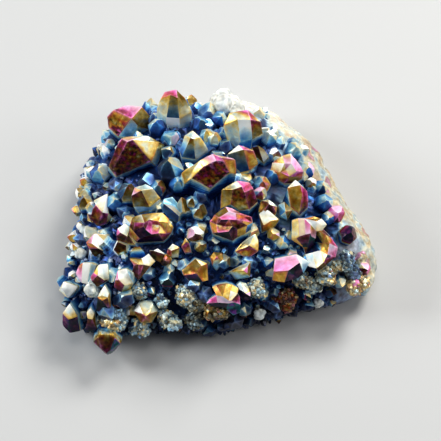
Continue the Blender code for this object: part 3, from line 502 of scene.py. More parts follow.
        "ABCD:pearl:olive DCFE:blue:ice",
    ),
    "khaki_wedge": (
        "A-67,-30,0 B-71,-30,2 C-69,-38,8 D-60,-42,9 E-55,-34,5 F-63,-28,3",
        "AEF:ice:white ABCDE:khaki:brown",
    ),
    "bud_c": (
        "A-49,-30,0 B-53,-28,4 C-48,-23,4 D-41,-27,5 E-42,-37,8 F-49,-37,8 G-54,-34,6",
        "ABCD:cream:white ADEF:pearl:olive AFGB:gold:crimson",
    ),
    "bud_a": (
        "A-34,-21,0 B-39,-26,4 C-36,-33,8 D-29,-32,8 E-31,-23,3 F-35,-17,3",
        "ABCDE:orange:maroon AEF:gold:cream AFB:gold",
    ),
    "three_sided": (
        "A-24,-53,0 B-19,-45,2 C-37,-55,5 D-18,-61,5 E-39,-50,6 F-25,-38,6 G-13,-43,6 H-12,-60,9 "
        "J-27,-64,10",
        "ABFEC:olive:khaki BGF:pale_gold:cream ABGHD:gold:olive ADJC:dusk:violet",
    ),
    "drop": (
        "A-4,-36,0 B-7,-40,1 C-1,-39,1 D-4,-50,9 E-8,-46,7 F1,-45,7 G-11,-36,5 H-7,-31,5 J2,-32,5 K4,-41,6",
        "ABC:orange:pink BEDFC:ice:pale_gold AHGB:khaki:gold BGE:orange:gold AJH:khaki:olive "
        "ACKJ:gold:olive CFK:gold",
    ),
    "low_wedge": (
        "A23,-50,1 B27,-46,1 C27,-53,0 D9,-51,6 E30,-41,5 F30,-57,8 G16,-59,10",
        "ABED:khaki:pearl ABC:pink:hot_pink ACFGD:ice:gold BEFC:khaki:olive",
    ),
    "wedge": (
        "A29,-25,0 B14,-31,6 C27,-38,10 D38,-31,6 E35,-13,6 F38,-20,6 G23,-21,3",
        "ABCD:orange:maroon ABGE:khaki:pearl AEFD:gold:bright_gold",
    ),
    "little_tent": (
        "A65,9,0 B58,16,5 C64,19,5 D72,10,6 E67,0,8 F59,4,7",
        "ABC:ice:pearl ACD:pearl:khaki ADE:khaki:olive AEF:ice:cream AFB:blue:ice",
    ),
    "small_gold": (
        "A37,76,0 B31,73,4 C36,63,10 D43,58,11 E49,64,8 F43,72,3",
        "ABCD:khaki:brown ADEF:white:gold",
    ),
    "cream_block": (
        "A43,-5,0 B38,7,4 C45,12,3 D59,1,5 E51,0,1 F41,-12,7 G55,-6,8",
        "ABCDE:cream:white AEDGF:khaki:gold AFB:khaki:olive",
    ),
    "front_cream": (
        "A20,-61,5 B26,-63,4 C30,-71,4 D30,-76,2 E25,-73,0 F19,-69,3 G16,-64,7 H32,-80,12 I23,-80,12 "
        "J16,-73,11",
        "ABCE:gold:cream GAEF:white:pearl CDE:rose FEDHIJ:dusk GFJ:navy:slate",
    ),
    "arc": (
        "A97,-9,3 B105,-14,1 C109,-23,0 D107,-34,1 E103,-42,2 F96,-48,5 G88,-46,7 H82,-38,10 I102,-8,8 "
        "J111,-17,8 K117,-27,8 L115,-37,11 M107,-44,9 N98,-51,11 O96,-14,9 P102,-23,8 Q100,-30,7 R92,-32,9 "
        "S85,-34,13 T89,-20,22",
        "AIJB:brown:copper BJKC:magenta:pale_gold CKLD:magenta:lilac DLME:brown:teal EMNF:brown:khaki "
        "ABPO:khaki:olive BCP:olive:gold CDQP:gold:khaki DEQ:pale_gold:cream QEFR:cream:white "
        "RFGS:white:pearl SGH:blue:ice OPT:navy PQT:navy:olive QRT:navy:slate RST:navy",
    ),
}

# The walls below the facets: how long they are (mm), and their film by the distance below the facets' edge.
WALL_LENGTH = 7.0
WALL_FILMS = ((0.0, 0.50), (0.5, 0.44), (1.3, 0.33), (2.4, 0.21), (4.0, 0.12), (7.0, 0.08))
FACET_RIDGE = 0.34  # width of the edges between facets, with thicker film and a painted highlight (mm)

# Palettes of the points that aren't placed by hand: tones up, right, down and left, by part of the cluster.
# The down tones are darker than the rest, as painted shade, and the front's are dark all round, as painted
# shade low on the front.
PALETTES = {
    "left": (
        "white white navy cream", "cream pale_gold brown white", "ice blue navy ice",
        "white rose maroon gold", "blue ice navy navy",
    ),
    "top": (
        "ice pearl blue blue", "pearl khaki slate ice", "ice ice blue blue", "pearl khaki navy ice",
        "ice blue navy blue",
    ),
    "middle": (
        "ice pearl navy blue", "pearl ice blue ice", "pearl khaki slate ice", "cream gold navy pearl",
        "blue ice navy blue", "ice blue navy slate",
    ),
    "right": (
        "cream rose copper pale_gold", "pearl cream slate ice", "white pale_gold olive cream",
        "rose pink maroon gold",
    ),
    "front": (
        "slate navy navy navy", "ice slate navy slate", "cream slate dusk ice", "khaki brown dusk slate",
        "blue navy navy blue",
    ),
    "rind": (
        "white cream pearl white", "pearl white ice pearl", "ice pearl blue ice", "white cream ice pearl",
    ),
}

# Edges of the parts in the front view (mm); the rind's, front's and right's also drop by a slope.
RIND_PART, RIND_SLOPE, RIND_LEFT = 25, 0.5, 2
LEFT_PART, TOP_PART = -21, 14
FRONT_PART, FRONT_SLOPE = -13, 0.05
RIGHT_PART, RIGHT_SLOPE = 14, 0.3

# ---------------------------------------------------------------- how fine the visible model is
# The shade channel scales the colour's brightness: the film's own light and dark, and painted light and
# shade.
CHANNELS = ("film", "shade", "pale", "rise", "stripes", "mottling", "metal")
METAL = 0.65
PALE_DULLNESS, BRIGHT_DULLNESS = 0.7, 0.5  # share of the metallic look that pale and bright faces lose
PALE_RANGE, BRIGHT_RANGE = (0.0, 0.6), (0.75, 1.15)  # where those begin and are full
WARM_FROM, WARM_TO = (0.50, 0.62), (0.88, 0.93)  # film at which the warm colours come in and go out
LIT_LEAST, LIT_GAIN, LIT_RANGE = 0.12, 0.55, (0.15, 0.5)  # how strong the painted highlight on ridges is, by brightness
CAP_RISE = 0.635  # height of a cap, as a share of the width
CUTS_PER_MM = 0.85  # cuts of a face's fan, for each millimetre of the point's width
MOST_CUTS = 10
FOOT_FILM = 0.11
FOOT_BAND = 0.45  # how far below the shoulder the film thins out, as a share of the width
WALL_FILM = 0.50  # the thickest film on a point's walls
BAND_FILM, BAND_WIDTH, BAND_SHARE = 0.46, 0.45, 0.75  # pale band along the lower edge of a cap face
RIDGE_FILM, RIDGE_WIDTH = 0.05, 0.32  # thicker film along a cap's ridges, on pale faces
RIDGE_PINK, RIDGE_SHARE = 0.86, 0.60  # and on warm ones
RIDGE_HIGHLIGHT, RIDGE_PALE, FACET_RIDGE_PALE = 1.1, 0.25, 0.2  # their painted highlight: brightness and paleness
RIDGE_RISE = (0.05, 0.45)  # share of the cap's height over which its ridges come in
BAND_END, BAND_SHADE = 0.35, 0.9  # where up the cap the band ends, and its brightness
SHOULDER_BLUR = 0.02  # in widths
CAP_STRIPES, WALL_STRIPE_FADE = 0.12, 0.6  # growth bands: on a cap, and how they fade up a wall
PHASE_DIRECTION = np.array((12.9, 78.2, 37.7))  # scrambles a point's place into its phase
PHASE_SHIFT = 31.7  # what a point's phase adds to its growth bands (mm)
FILM_JITTER = 0.015
# Painted shade on the small points low on the front, which lies in shade: how much darker they get.
SMALL_FRONT_SHADE = 0.65
FRONT_FADE = (-17, -25)  # where in the front view's height the painted shade begins and is full (mm)
SMALL_EDGE_FILM, SMALL_EDGE_HIGHLIGHT = 0.09, 0.12  # along the edges of small points: thicker film, and paleness as a painted highlight
SMALL_EDGE_BELOW = 0.42  # the film that a face must lie under for this
FACET_DRIFT = 0.022  # how far the film's thickness drifts across a facet
DRIFT_TURN, DRIFT_DIRECTION = 1.7, (1.1, 0.5, -0.8)  # from facet to facet, and per millimetre
FACET_WALL = (0.9, 0.2, 0.8)  # brightness, mottling and stripes of the walls below the facets
SOFTENING = 0.45  # how far the points' corners are drawn to their neighbours' middle
WOBBLES = ((2.4, 0.13), (0.9, 0.05))  # pitch and height of the unevenness of the points' faces (mm)
FACET_CUTS, FACET_CUTS_SMALL, FACET_BIG = 10, 6, 6.0  # the last is the width of a big one (mm)
SAME_DIGITS = 4  # points of a body that agree to this many digits are one
MATRIX_CUTS = 10
MATRIX_WOBBLES = ((4.0, 0.50), (2.0, 0.38), (0.8, 0.16), (0.5, 0.08))
MATRIX_EASINGS = 6  # how often the matrix's points are drawn to their neighbours' middle
ON_BASE, OFF_BASE = 1e-4, 0.02  # heights: up to the first is base, the rest is kept above the second (mm)
# The pieces, and the angle (degrees) above which their edges stay sharp; None is flat faces.
PIECES = {
    "large_points": 32, "quartz_points": 32, "lumps": 60, "lump_grains": None, "druse": None, "grains": None,
    "matrix": 60,
}

# Small points and grains: how many are tried, width range (mm), spacing in the sum of two widths, lengths
# in widths, tilt.
MIDDLING = {"tries": 900, "width": (2.4, 4.2), "spacing": 0.46, "length": (0.9, 1.4), "tilt": 0.30}
DRUSE = {"tries": 2600, "width": (1.0, 2.1), "spacing": 0.60, "length": (0.8, 1.5), "tilt": 0.45}
GRAINS = {"tries": 5000, "width": (0.5, 1.1), "spacing": 0.42, "length": (0.6, 1.1), "tilt": 0.8}
RIND_DRUSE = {"tries": 520, "width": (1.6, 3.6), "spacing": 0.42, "length": (0.6, 1.0), "tilt": 0.4}
EDGE_STRIP = 2.0  # width of the strips in which the matrix's front edge is found (mm)
EDGE_STRIPS = np.arange(-36.0, 37.0, EDGE_STRIP)
EDGE_SLACK = 0.4  # how far small points may hang below that edge in the front view (mm)
LEAST_DROOP = 0.2  # a small point counts as leaning down at least this much
SMALLEST = 0.5  # width that a small point keeps where it is shrunk to clear the edge (mm)
# Round the large dark point, where no small point covers its faces: (right, up, reach) in the front view.
CLEARED = ((-20.5, 12.2, 3.0), (-15.7, 16.3, 3.0), (-17.2, 12.5, 2.0))
DRUSE_LOWEST = 1.2  # small points stand above this height (mm)
BARE_END = (26, -16)  # and not right of and below this place in the front view
RIND_DRUSE_LOWEST, RIND_DRUSE_SPREAD = 16.5, 0.8  # those of the rind stand near its top edge (mm)
RIND_LEAST, OFF_RIND = 0.3, 0.5  # rind shares above which a place is rind, and below which it isn't
MIDDLING_FROM = -33  # the widest ones stand right of this (mm)
GRAINS_BELOW, GRAINS_SPREAD = -8, 4  # the grains lie about below this height in the front view (mm)
DRUSE_REACH = 0.3  # share of the width that a small point keeps clear for the next kind
THIN_BELOW = 2.3  # the film is thinner on points narrower than this (mm): dark navy, as painted shade between the large points
THINNEST = 0.35  # and no thinner than this share
HOST_REACH, LUMP_REACH = 0.40, 0.58  # druse keeps these shares of the width from a point's or lump's foot
TEMPLATES = 24  # shapes of small points in each set

LUMP_PARTS = 5
PART_SIZE, FIRST_PART = (0.25, 0.36), 1.2  # radius in widths, and how much larger the first part is
PART_SIDEWAYS, PART_ALONG = 0.24, (0.05, 0.68)  # a part's place, in widths and in lengths
PART_STRETCH = (0.85, 1.15)  # along each axis
LUMP_LEAST, LUMP_GAIN = 0.35, 0.65  # unevenness of the smoothest lump, and what roughness adds
LUMP_STRONG = 0.6  # roughness above which a lump carries grains
LUMP_FILM, LUMP_FLECKS = (1.7, 0.04), (0.8, 0.13)  # pitch (mm) and size of the film's changes
LUMP_SPECKS = (0.7, 0.9)  # the same for its brightness
LUMP_SHADE, LUMP_HOLLOW_SHADE, LUMP_SHADES = 0.75, 1.6, (0.05, 1.4)  # brightness at rest; painted shade in hollows and painted light on bumps, per mm of lift; range
LUMP_MOTTLING = 0.5
LUMP_SEEDS = (5, 8, 6, 9)  # of the specks, flecks, film and blush
BLUSH_FROM, BLUSH_FILM = 32.0, 0.4  # lumps further right (mm) and thicker in film are pink in places
LUMP_BLUSH, BLUSH_EDGE = (2.2, 1.0), (0.05, 0.35)
LUMP_GRAINS = {"count": 80, "width": (0.45, 0.85), "length": (0.6, 1.1), "tilt": 0.8, "spacing": 0.36}
LUMP_DETAIL = 4  # subdivisions of each rounded part of a lump
LUMP_WOBBLES = ((1.6, 0.25), (0.8, 0.26), (0.45, 0.12))
GRAIN_FILM, GRAIN_SHADES = 0.07, (0.25, 0.6, 1.0, 1.4)  # spread of the grains' film; their brightness, from painted shade to painted glints
GRAIN_FACE_LIGHT_AND_SHADE = (5.0, 0.25)  # how a grain's faces differ in brightness, painted light and shade: frequency and share
GRAIN_PALE, GRAIN_MOTTLING, GRAIN_METAL = 0.2, 0.2, 0.35

# Areas of the matrix: where each starts and is full, by height or place (mm), share of the plan, or noise.
AREAS = {
    "front": (-12, -22), "rim": (0.70, 0.82), "end": (8, 26), "shaded_pits": (0.30, 0.55), "flecks": (0.30, 0.60),
    "low": (3, 11), "blush": (0.28, 0.58), "shaded_gap": (16, 22), "cove_right": (35.5, 33.0),
    "cove_left": (27, 29), "cove_top": (-3.5, -6.5),
}
PATCHES, SPECKS, FINE = (3.2, 11), (1.1, 12), (0.5, 13)  # pitch (mm) and seed of the matrix's noises
PITS, FLECKS, BLUSHES = (2.6, 16), (1.7, 17), (2.4, 15)
RIM_WAVER, COVE_WAVER = 0.05, 1.5  # how far the patches shift those two edges
BLUSH_SHARE = 0.9
# What is mixed: a value at rest, then what each layer adds. The rind's film takes rim, specks, patches, end
# and flecks; its brightness rim, specks, fine, end, low and pits; its paleness rim and end.
RIND_FILM, END_FILM = (0.33, 0.11, 0.04, 0.04, 1.0, 0.07), (0.03, 0.07)
RIND_SHADE, RIND_BRIGHTNESS = (0.80, 0.22, 0.18, 0.22, -0.40, -0.34, -0.5), 0.93
RIND_PALE, COVE_PALE = (0.40, 0.28, -0.30), 0.25
# The matrix off the rind: its brightness, kept low as painted shade between the crystals, and the share lost
# low on the front, also painted shade.
DARK_SHADE, MATRIX_FRONT_SHADE = 0.8, 0.45
# Elsewhere the film takes specks and patches, and the brightness specks and fine.
DARK_FILM = (0.10, 0.03, 0.06)
COVE_FILM, COVE_SHADE = (0.21, 0.08, 0.06), (0.55, 0.30, 0.35)
# Painted shade on the matrix between the crystals on the right: a thin navy film and low brightness.
GAP_FILM, GAP_SHADE = (0.14, 0.08, 0.07), (0.40, 0.25, 0.30)
# Painted shade in pits of the rind: a thin navy film, and the brightness the pits take from RIND_SHADE.
PIT_FILM = 0.13
MATRIX_MOTTLING = 0.3
RIND_DULLNESS = 0.8  # share of the metallic look that the rind loses

# The film's material. Its noises: scale (per metre; the bands' per millimetre) and detail.
MOTTLE, BROAD, BLOTCHES, FINEST, BANDS = (650, 4), (200, 2), (1100, 3), (2600, 3), (2.2, 2)
MOTTLE_LEAST, MOTTLE_GAIN, BROAD_GAIN, STRIPE_GAIN = 0.15, 0.36, 0.12, 0.35  # in film thickness
PALE_COLOUR = (1.0, 1.0, 0.97, 1)
BLOTCH_GAIN, DARKEST = 3.6, 0.12
ROUGHNESS, DULL_GAIN, FINE_GAIN = 0.22, 0.45, 0.22
BUMP_STRENGTH, BUMP_DEPTH, FINE_RELIEF = 0.35, 0.0001, 0.6

FLOOR_HALF, FLOOR_COLOUR, FLOOR_ROUGHNESS = 2, (0.60, 0.60, 0.59), 0.6
# Square soft boxes: place (m), side (m), watts and colour.
LIGHTS = {
    "key": ((0.35, 0.42, 0.50), 0.30, 4.9, (1.0, 0.99, 0.96)),
    "left": ((-0.55, 0.05, 0.35), 0.25, 2.7, (0.95, 0.98, 1.0)),
    "right": ((0.62, -0.08, 0.42), 0.28, 1.3, (1, 1, 1)),
    "top": ((-0.05, 0.05, 0.75), 0.35, 1.0, (1, 1, 1)),
}
SKY_COLOUR, SKY_STRENGTH = (0.80, 0.85, 1.0, 1), 0.08
NEAREST_SEEN = 0.05  # (m)


def smooth_step(low, high, value):
    """0 below low, 1 above high, and a smooth rise between."""
    share = np.clip((value - low) / (high - low), 0, 1)
    return share * share * (3 - 2 * share)


def blend(start, end, share):
    """The start where the share is 0, the end where it is 1."""
    return start + (end - start) * share


def mixed(values, *layers):
    """The first value plus every layer, each as strong as the value that goes with it."""
    total = values[0]
    for value, layer in zip(values[1:], layers):
        total = total + value * layer
    return total


def lattice_noise(points, pitch, seed):
    """Smooth noise from -1 to 1 at each point, one lump for each pitch."""
    scaled = points / pitch
    cell = np.floor(scaled)
    share = scaled - cell
    share = share * share * (3 - 2 * share)
    total = np.zeros(len(points))
    for corner in np.ndindex(2, 2, 2):
        place = (cell + corner) @ np.array((127.1, 311.7, 74.7)) + 19.19 * seed
        value = np.sin(place) * 43758.5453
        weight = np.prod(np.where(corner, share, 1 - share), axis=1)
        total += weight * (2 * (value - np.floor(value)) - 1)
    return total


# ---------------------------------------------------------------- layout, as in the solid: functions
def closed_curve(points, count):
    """A closed Catmull-Rom curve through the points, sampled at `count` places."""
    points = np.array(points)
    size = len(points)
    samples = []
    for step in range(count):
        place = step * size / count
        i, t = int(place), place % 1.0
        a, b, c, d = (points[(i + k) % size] for k in (-1, 0, 1, 2))
        curve = 2 * b + (c - a) * t + (2 * a - 5 * b + 4 * c - d) * t**2 + (3 * b - a - 3 * c + d) * t**3
        samples.append(curve / 2)
    return samples


def matrix_rings():
    """Rows of points (mm) of the matrix, from below the base to just under the summit."""
    plan = closed_curve(MATRIX_PLAN, PLAN_STEPS)
    rows = []
    for height, slope, share in MATRIX_RINGS:
        row = []
        for x, y in plan:
            flat = np.array((x * share, PLAN_MIDDLE + (y - PLAN_MIDDLE) * share))
            z = height + slope * (flat[1] - PLAN_MIDDLE)
            lump = LUMP_DEPTH * noise.noise(Vector((flat[0], flat[1], z)) / LUMP_PITCH)
            outward = flat / np.linalg.norm(flat)
            row.append((*(flat + outward * lump), z + LUMP_RISE * lump))
        rows.append(row)
    return rows


def build_matrix():
    """The domed matrix as a closed bmesh in millimetres."""
    body = bmesh.new()
    rows = [[body.verts.new(p) for p in row] for row in matrix_rings()]
    summit = body.verts.new(MATRIX_SUMMIT)
    body.faces.new(rows[0][::-1])
    for low, high in zip(rows, rows[1:]):
        for i in range(PLAN_STEPS):
            j = (i + 1) % PLAN_STEPS
            body.faces.new((low[i], low[j], high[j], high[i]))
    for i in range(PLAN_STEPS):
        body.faces.new((rows[-1][i], rows[-1][(i + 1) % PLAN_STEPS], summit))
    bmesh.ops.recalc_face_normals(body, faces=body.faces)
    return body


def crystal_planes(width, length, cap, rng):
    """Outward normals and offsets of a quartz point along +Z with its root below the origin."""
    normals, offsets = [], []
    for side in range(SIDES):
        turn = side * 2 * pi / SIDES
        wall = np.array((cos(turn), sin(turn), 0.0))
        face = np.array((sin(CAP_TILT) * cos(turn), sin(CAP_TILT) * sin(turn), cos(CAP_TILT)))
        flare = cap * FLARE * width if side % 2 else 0.0
        normals += [wall, face]
        offsets.append(0.5 * width * (1 + rng.uniform(-UNEVEN, UNEVEN)))
        offsets.append(cos(CAP_TILT) * (length + flare + rng.uniform(0, UNEVEN) * width))
    normals.append(np.array((0.0, 0.0, -1.0)))
    offsets.append(ROOT * width)
    return np.array(normals), np.array(offsets)


def merged_corners(corners, triples):
    """Corners with near neighbours made one, and the set of planes through each."""
    kept, planes = [], []
    for corner, triple in zip(corners, triples):
        near = [i for i, other in enumerate(kept) if np.abs(other - corner).max() < MERGE]
        if near:
            planes[near[0]].update(triple)
        else:
            kept.append(corner)
            planes.append(set(triple))
    return np.array(kept), planes


def convex_body(normals, offsets):
    """Corners, faces and the faces' plane numbers of the solid that lies under every plane."""
    triples = np.array(list(combinations(range(len(normals)), 3)))
    triples = triples[np.abs(np.linalg.det(normals[triples])) > PARALLEL]
    corners = np.linalg.solve(normals[triples], offsets[triples][..., None])[..., 0]
    inside = (corners @ normals.T <= offsets + SLACK).all(axis=1)
    corners, planes = merged_corners(corners[inside], triples[inside])
    faces, numbers = [], []
    for number, normal in enumerate(normals):
        on = np.array([i for i, through in enumerate(planes) if number in through])
        if len(on) < 3:
            continue
        spread = corners[on] - corners[on].mean(axis=0)
        first = spread[0] / np.linalg.norm(spread[0])
        second = np.cross(normal, first)
        faces.append(on[np.argsort(np.arctan2(spread @ second, spread @ first))])
        numbers.append(number)
    return corners, faces, numbers


def axes_along(axis, side):
    """Rows of a frame whose third row is the axis and whose first leans towards the side."""
    axis = axis / np.linalg.norm(axis)
    first = side - axis * (side @ axis)
    first /= np.linalg.norm(first)
    return np.array((first, np.cross(axis, first), axis))


def surface_under(tree, right, up):
    """The matrix's point seen at (right, up) in the front view."""
    eye = VIEW_CENTRE + EYE_DISTANCE * VIEW_OUT
    target = VIEW_CENTRE + right * VIEW_RIGHT + up * VIEW_UP
    ray = target - eye
    hit = tree.ray_cast(Vector(eye), Vector(ray / np.linalg.norm(ray)))[0]
    if hit is None:
        hit = tree.find_nearest(Vector(target))[0]
    return np.array(hit)


def placed_points(tree, rows):
    """Foot, frame, width, length and cap of each listed point."""
    found = []
    for right, up, width, length, lean_right, lean_up, turn, cap in rows.values():
        foot = surface_under(tree, right - length * lean_right, up - length * lean_up)
        outward = (1 - lean_right**2 - lean_up**2) ** 0.5
        axis = lean_right * VIEW_RIGHT + lean_up * VIEW_UP + outward * VIEW_OUT
        side = cos(radians(turn)) * VIEW_RIGHT + sin(radians(turn)) * VIEW_UP
        found.append((foot, axes_along(axis, side), width, length, cap))
    return found


def on_rind(place):
    """Whether a place on the matrix belongs to its bare rind."""
    compass = np.arctan2(place[1] - PLAN_MIDDLE, place[0])
    return RIND_FROM < compass < RIND_TO and place[2] < RIND_TOP


def random_point(face, rng):
    """A point with a seeded size and lean, standing on a triangle of the matrix."""
    corners = np.array([vert.co for vert in face.verts])
    foot = rng.dirichlet((1, 1, 1)) @ corners
    width = rng.uniform(*SCATTER_WIDTH) * (WALL_SHARE if face.normal.z < cos(STEEP) else 1.0)
    length = width * rng.uniform(*SCATTER_LENGTH)
    axis = np.array(face.normal) + rng.normal(0, SCATTER_TILT, 3)
    side = rng.normal(0, 1, 3)
    return foot, axes_along(axis, side), width, length, rng.uniform(0, 1)


def scattered_points(matrix, taken, rng):
    """More points, at seeded places on the matrix clear of those already taken."""
    bmesh.ops.triangulate(matrix, faces=matrix.faces)
    faces = list(matrix.faces)
    areas = np.array([face.calc_area() for face in faces])
    feet = [(foot, width) for foot, _, width, _, _ in taken]
    found = []
    for index in rng.choice(len(faces), SCATTER_TRIES, p=areas / areas.sum()):
        point = random_point(faces[index], rng)
        foot, width = point[0], point[2]
        near = any(np.linalg.norm(foot - other) < SCATTER_SPACING * (width + wide) for other, wide in feet)
        if near or foot[2] < SCATTER_LOWEST or on_rind(foot):
            continue
        found.append(point)
        feet.append((foot, width))
        if len(found) == SCATTER_COUNT:
            break
    return found


# ---------------------------------------------------------------- meshes
def joined(bodies):
    """A piece's bodies as one: points, triangles and the channels at each triangle's corners."""
    points, tris, paint = zip(*bodies)
    starts = np.cumsum([0, *map(len, points[:-1])])
    tris = [own + start for own, start in zip(tris, starts)]
    return np.concatenate(points), np.concatenate(tris), np.concatenate(paint)


def stacked(*channels):
    """The channels, in the order of CHANNELS, at each triangle's corners."""
    return np.stack(np.broadcast_arrays(*channels), axis=2)


def triangle_corners(points, tris):
    """The corners of each triangle, and its normal, twice as long as its area."""
    a, b, c = (points[tris[:, k]] for k in range(3))
    return a, b, c, np.cross(b - a, c - a)


def neighbour_means(points, tris):
    """The middle of each point's neighbours."""
    ends = np.concatenate((tris[:, [0, 1]], tris[:, [1, 2]], tris[:, [2, 0]]))
    count = np.bincount(ends[:, 0], minlength=len(points))
    sums = [np.bincount(ends[:, 0], points[ends[:, 1], k], len(points)) for k in range(3)]
    return np.stack(sums, axis=1) / count[:, None]


def point_normals(points, tris):
    """Each point's normal, from the triangles round it by their area."""
    across = triangle_corners(points, tris)[-1]
    sums = [np.bincount(tris.ravel(), np.repeat(across[:, k], 3), len(points)) for k in range(3)]
    normals = np.stack(sums, axis=1)
    return normals / np.linalg.norm(normals, axis=1, keepdims=True).clip(1e-12)


def weathered(points, tris, wobbles, softening):
    """Points with their sharp edges eased and their faces made slightly uneven."""
    points = points + softening * (neighbour_means(points, tris) - points)
    normals = point_normals(points, tris)
    height = sum(size * lattice_noise(points, pitch, seed) for seed, (pitch, size) in enumerate(wobbles))
    return points + normals * height[:, None]


def make_object(name, points, tris, paint, sharp_angle):
    """A mesh object in metres with the channels as attributes of its face corners."""
    mesh = bpy.data.meshes.new(name)
    mesh.vertices.add(len(points))
    mesh.vertices.foreach_set("co", (points * MM).astype(np.float32).ravel())
    mesh.loops.add(3 * len(tris))
    mesh.loops.foreach_set("vertex_index", tris.astype(np.int32).ravel())
    mesh.polygons.add(len(tris))
    mesh.polygons.foreach_set("loop_start", np.arange(0, 3 * len(tris), 3, dtype=np.int32))
    mesh.update(calc_edges=True)
    for k, channel in enumerate(CHANNELS):
        values = mesh.attributes.new(channel, "FLOAT", "CORNER").data
        values.foreach_set("value", paint[:, :, k].astype(np.float32).ravel())
    if sharp_angle is None:
        mesh.shade_flat()
    else:
        mesh.shade_smooth()
        mesh.set_sharp_from_angle(angle=radians(sharp_angle))
    return linked(name, mesh)


# ---------------------------------------------------------------- quartz points
def fan_grid(cuts):
    """Weights and triangles of a triangle (middle, first, second) cut into equal ones."""
    rows = [(i, j) for i in range(cuts + 1) for j in range(cuts + 1 - i)]
    index = {place: n for n, place in enumerate(rows)}
    weights = np.array([(cuts - i - j, i, j) for i, j in rows]) / cuts
    tris = []
    for i, j in rows:
        if i + j < cuts:
            tris.append((index[i, j], index[i + 1, j], index[i, j + 1]))
        if i + j < cuts - 1:
            tris.append((index[i + 1, j], index[i + 1, j + 1], index[i, j + 1]))
    return weights, np.array(tris)


def fine_body(corners, faces, numbers, cuts):
    """Points, triangles, each triangle's plane, and each point's distance from its face's edge."""
    weights, pattern = fan_grid(cuts)
    points, tris, owners, insets = [], [], [], []
    count = 0
    for loop, number in zip(faces, numbers):
        middle = corners[loop].mean(axis=0)
        for a, b in zip(corners[loop], corners[np.roll(loop, -1)]):
            along = (b - a) / np.linalg.norm(b - a)
            reach = np.linalg.norm((middle - a) - along * ((middle - a) @ along))
            points.append(weights @ np.array((middle, a, b)))
            tris.append(pattern + count)
            owners.append(np.full(len(pattern), number))
            insets.append(weights[:, 0] * reach)
            count += len(weights)
    points = np.concatenate(points)
    _, first, index = np.unique(np.round(points, SAME_DIGITS), axis=0, return_index=True, return_inverse=True)
    index = index.reshape(-1)
    inset = np.full(len(first), np.inf)
    np.minimum.at(inset, index, np.concatenate(insets))
    tris = index[np.concatenate(tris)]
    whole = (tris[:, 0] != tris[:, 1]) & (tris[:, 1] != tris[:, 2]) & (tris[:, 0] != tris[:, 2])
    return points[first], tris[whole], np.concatenate(owners)[whole], inset


def plain_body(corners, faces, numbers):
    """The same for a tiny body whose faces are left whole."""
    tris, owners = [], []
    for loop, number in zip(faces, numbers):
        for k in range(1, len(loop) - 1):
            tris.append((loop[0], loop[k], loop[k + 1]))
            owners.append(number)
    return corners, np.array(tris), np.array(owners), None


def nearest_tones(normals, axes, looks):
    """The tone of each plane, by the way it faces in the front view: painted light and shade by direction."""
    world = normals @ axes
    angles = np.degrees(np.arctan2(world @ VIEW_UP, world @ VIEW_RIGHT))
    wanted = list(looks)
    apart = [np.abs((angles - angle + 180) % 360 - 180) for angle in wanted]
    return np.array([TONES[looks[wanted[k]]] for k in np.argmin(apart, axis=0)])


def warmth(film):
    """1 for the film's gold, red and pink range, 0 for its blues, teal and dark violet."""
    return smooth_step(*WARM_FROM, film) * (1 - smooth_step(*WARM_TO, film))


def metal_of(pale, shade):
    """How metallic a face is: pale and bright ones are less so."""
    bright = smooth_step(*BRIGHT_RANGE, shade)
    return METAL * (1 - PALE_DULLNESS * smooth_step(*PALE_RANGE, pale)) * (1 - BRIGHT_DULLNESS * bright)


def ridge_highlight_share(shade):
    """How strong the painted highlight on a face's ridges is: faint on a dark face."""
    return LIT_LEAST + LIT_GAIN * smooth_step(*LIT_RANGE, shade)


def ridged(film, shade, pale, ridge, face_shade, paleness, thin=1.0):
    """The film, brightness and paleness of faces with their ridges: thicker film, pink where warm, and a
    painted highlight.
    """
    warm = warmth(film)
    thicker = RIDGE_FILM * thin * (1 - warm) + RIDGE_SHARE * (RIDGE_PINK - film) * warm
    # painted highlight along the ridges
    shade = shade + (RIDGE_HIGHLIGHT - shade) * ridge * ridge_highlight_share(face_shade)
    return film + thicker * ridge, shade, pale + paleness * warm * ridge


def phase_of(foot):
    """A number from -1 to 1 that sets a point apart from its neighbours."""
    return np.sin(foot @ PHASE_DIRECTION)


def painted(points, tris, owners, inset, normals, axes, width, length, looks, phase, thin=1.0):
    """The channels at each triangle's corners, for a point in its own axes."""
    low, high, shade, pale, mottling = nearest_tones(normals, axes, looks)[owners].T[:, :, None]
    low, high, pale = low * thin, high * thin, pale * thin
    rise = points[tris][:, :, 2]
    shoulder = length - CAP_RISE * width
    share = np.clip((rise - shoulder) / (length - shoulder), 0, 1)
    on_cap = (owners % 2 == 1)[:, None]
    inset = inset[tris]

    film = blend(low, high, share)
    edge = BAND_SHARE * np.exp(-inset / BAND_WIDTH) * (1 - smooth_step(0.0, BAND_END, share))
    film = blend(film, np.minimum(film, BAND_FILM), edge)
    ridge = np.exp(-inset / RIDGE_WIDTH) * smooth_step(*RIDGE_RISE, share)
    cap_shade = blend(shade, BAND_SHADE, edge)
    film, cap_shade, cap_pale = ridged(film, cap_shade, pale, ridge, shade, RIDGE_PALE, thin)

    shown = smooth_step(shoulder - FOOT_BAND * width, shoulder + SHOULDER_BLUR * width, rise)
    wall_film = blend(FOOT_FILM, np.minimum(low, WALL_FILM * thin), shown)
    wall_shade = blend(1, 0.5 * (1 + shade), shown)
    return stacked(
        np.where(on_cap, film, wall_film) + FILM_JITTER * phase, np.where(on_cap, cap_shade, wall_shade),
        np.where(on_cap, cap_pale, pale * shown), rise + PHASE_SHIFT * phase,
        np.where(on_cap, CAP_STRIPES, 1 - WALL_STRIPE_FADE * shown), mottling, metal_of(pale, shade),
    )


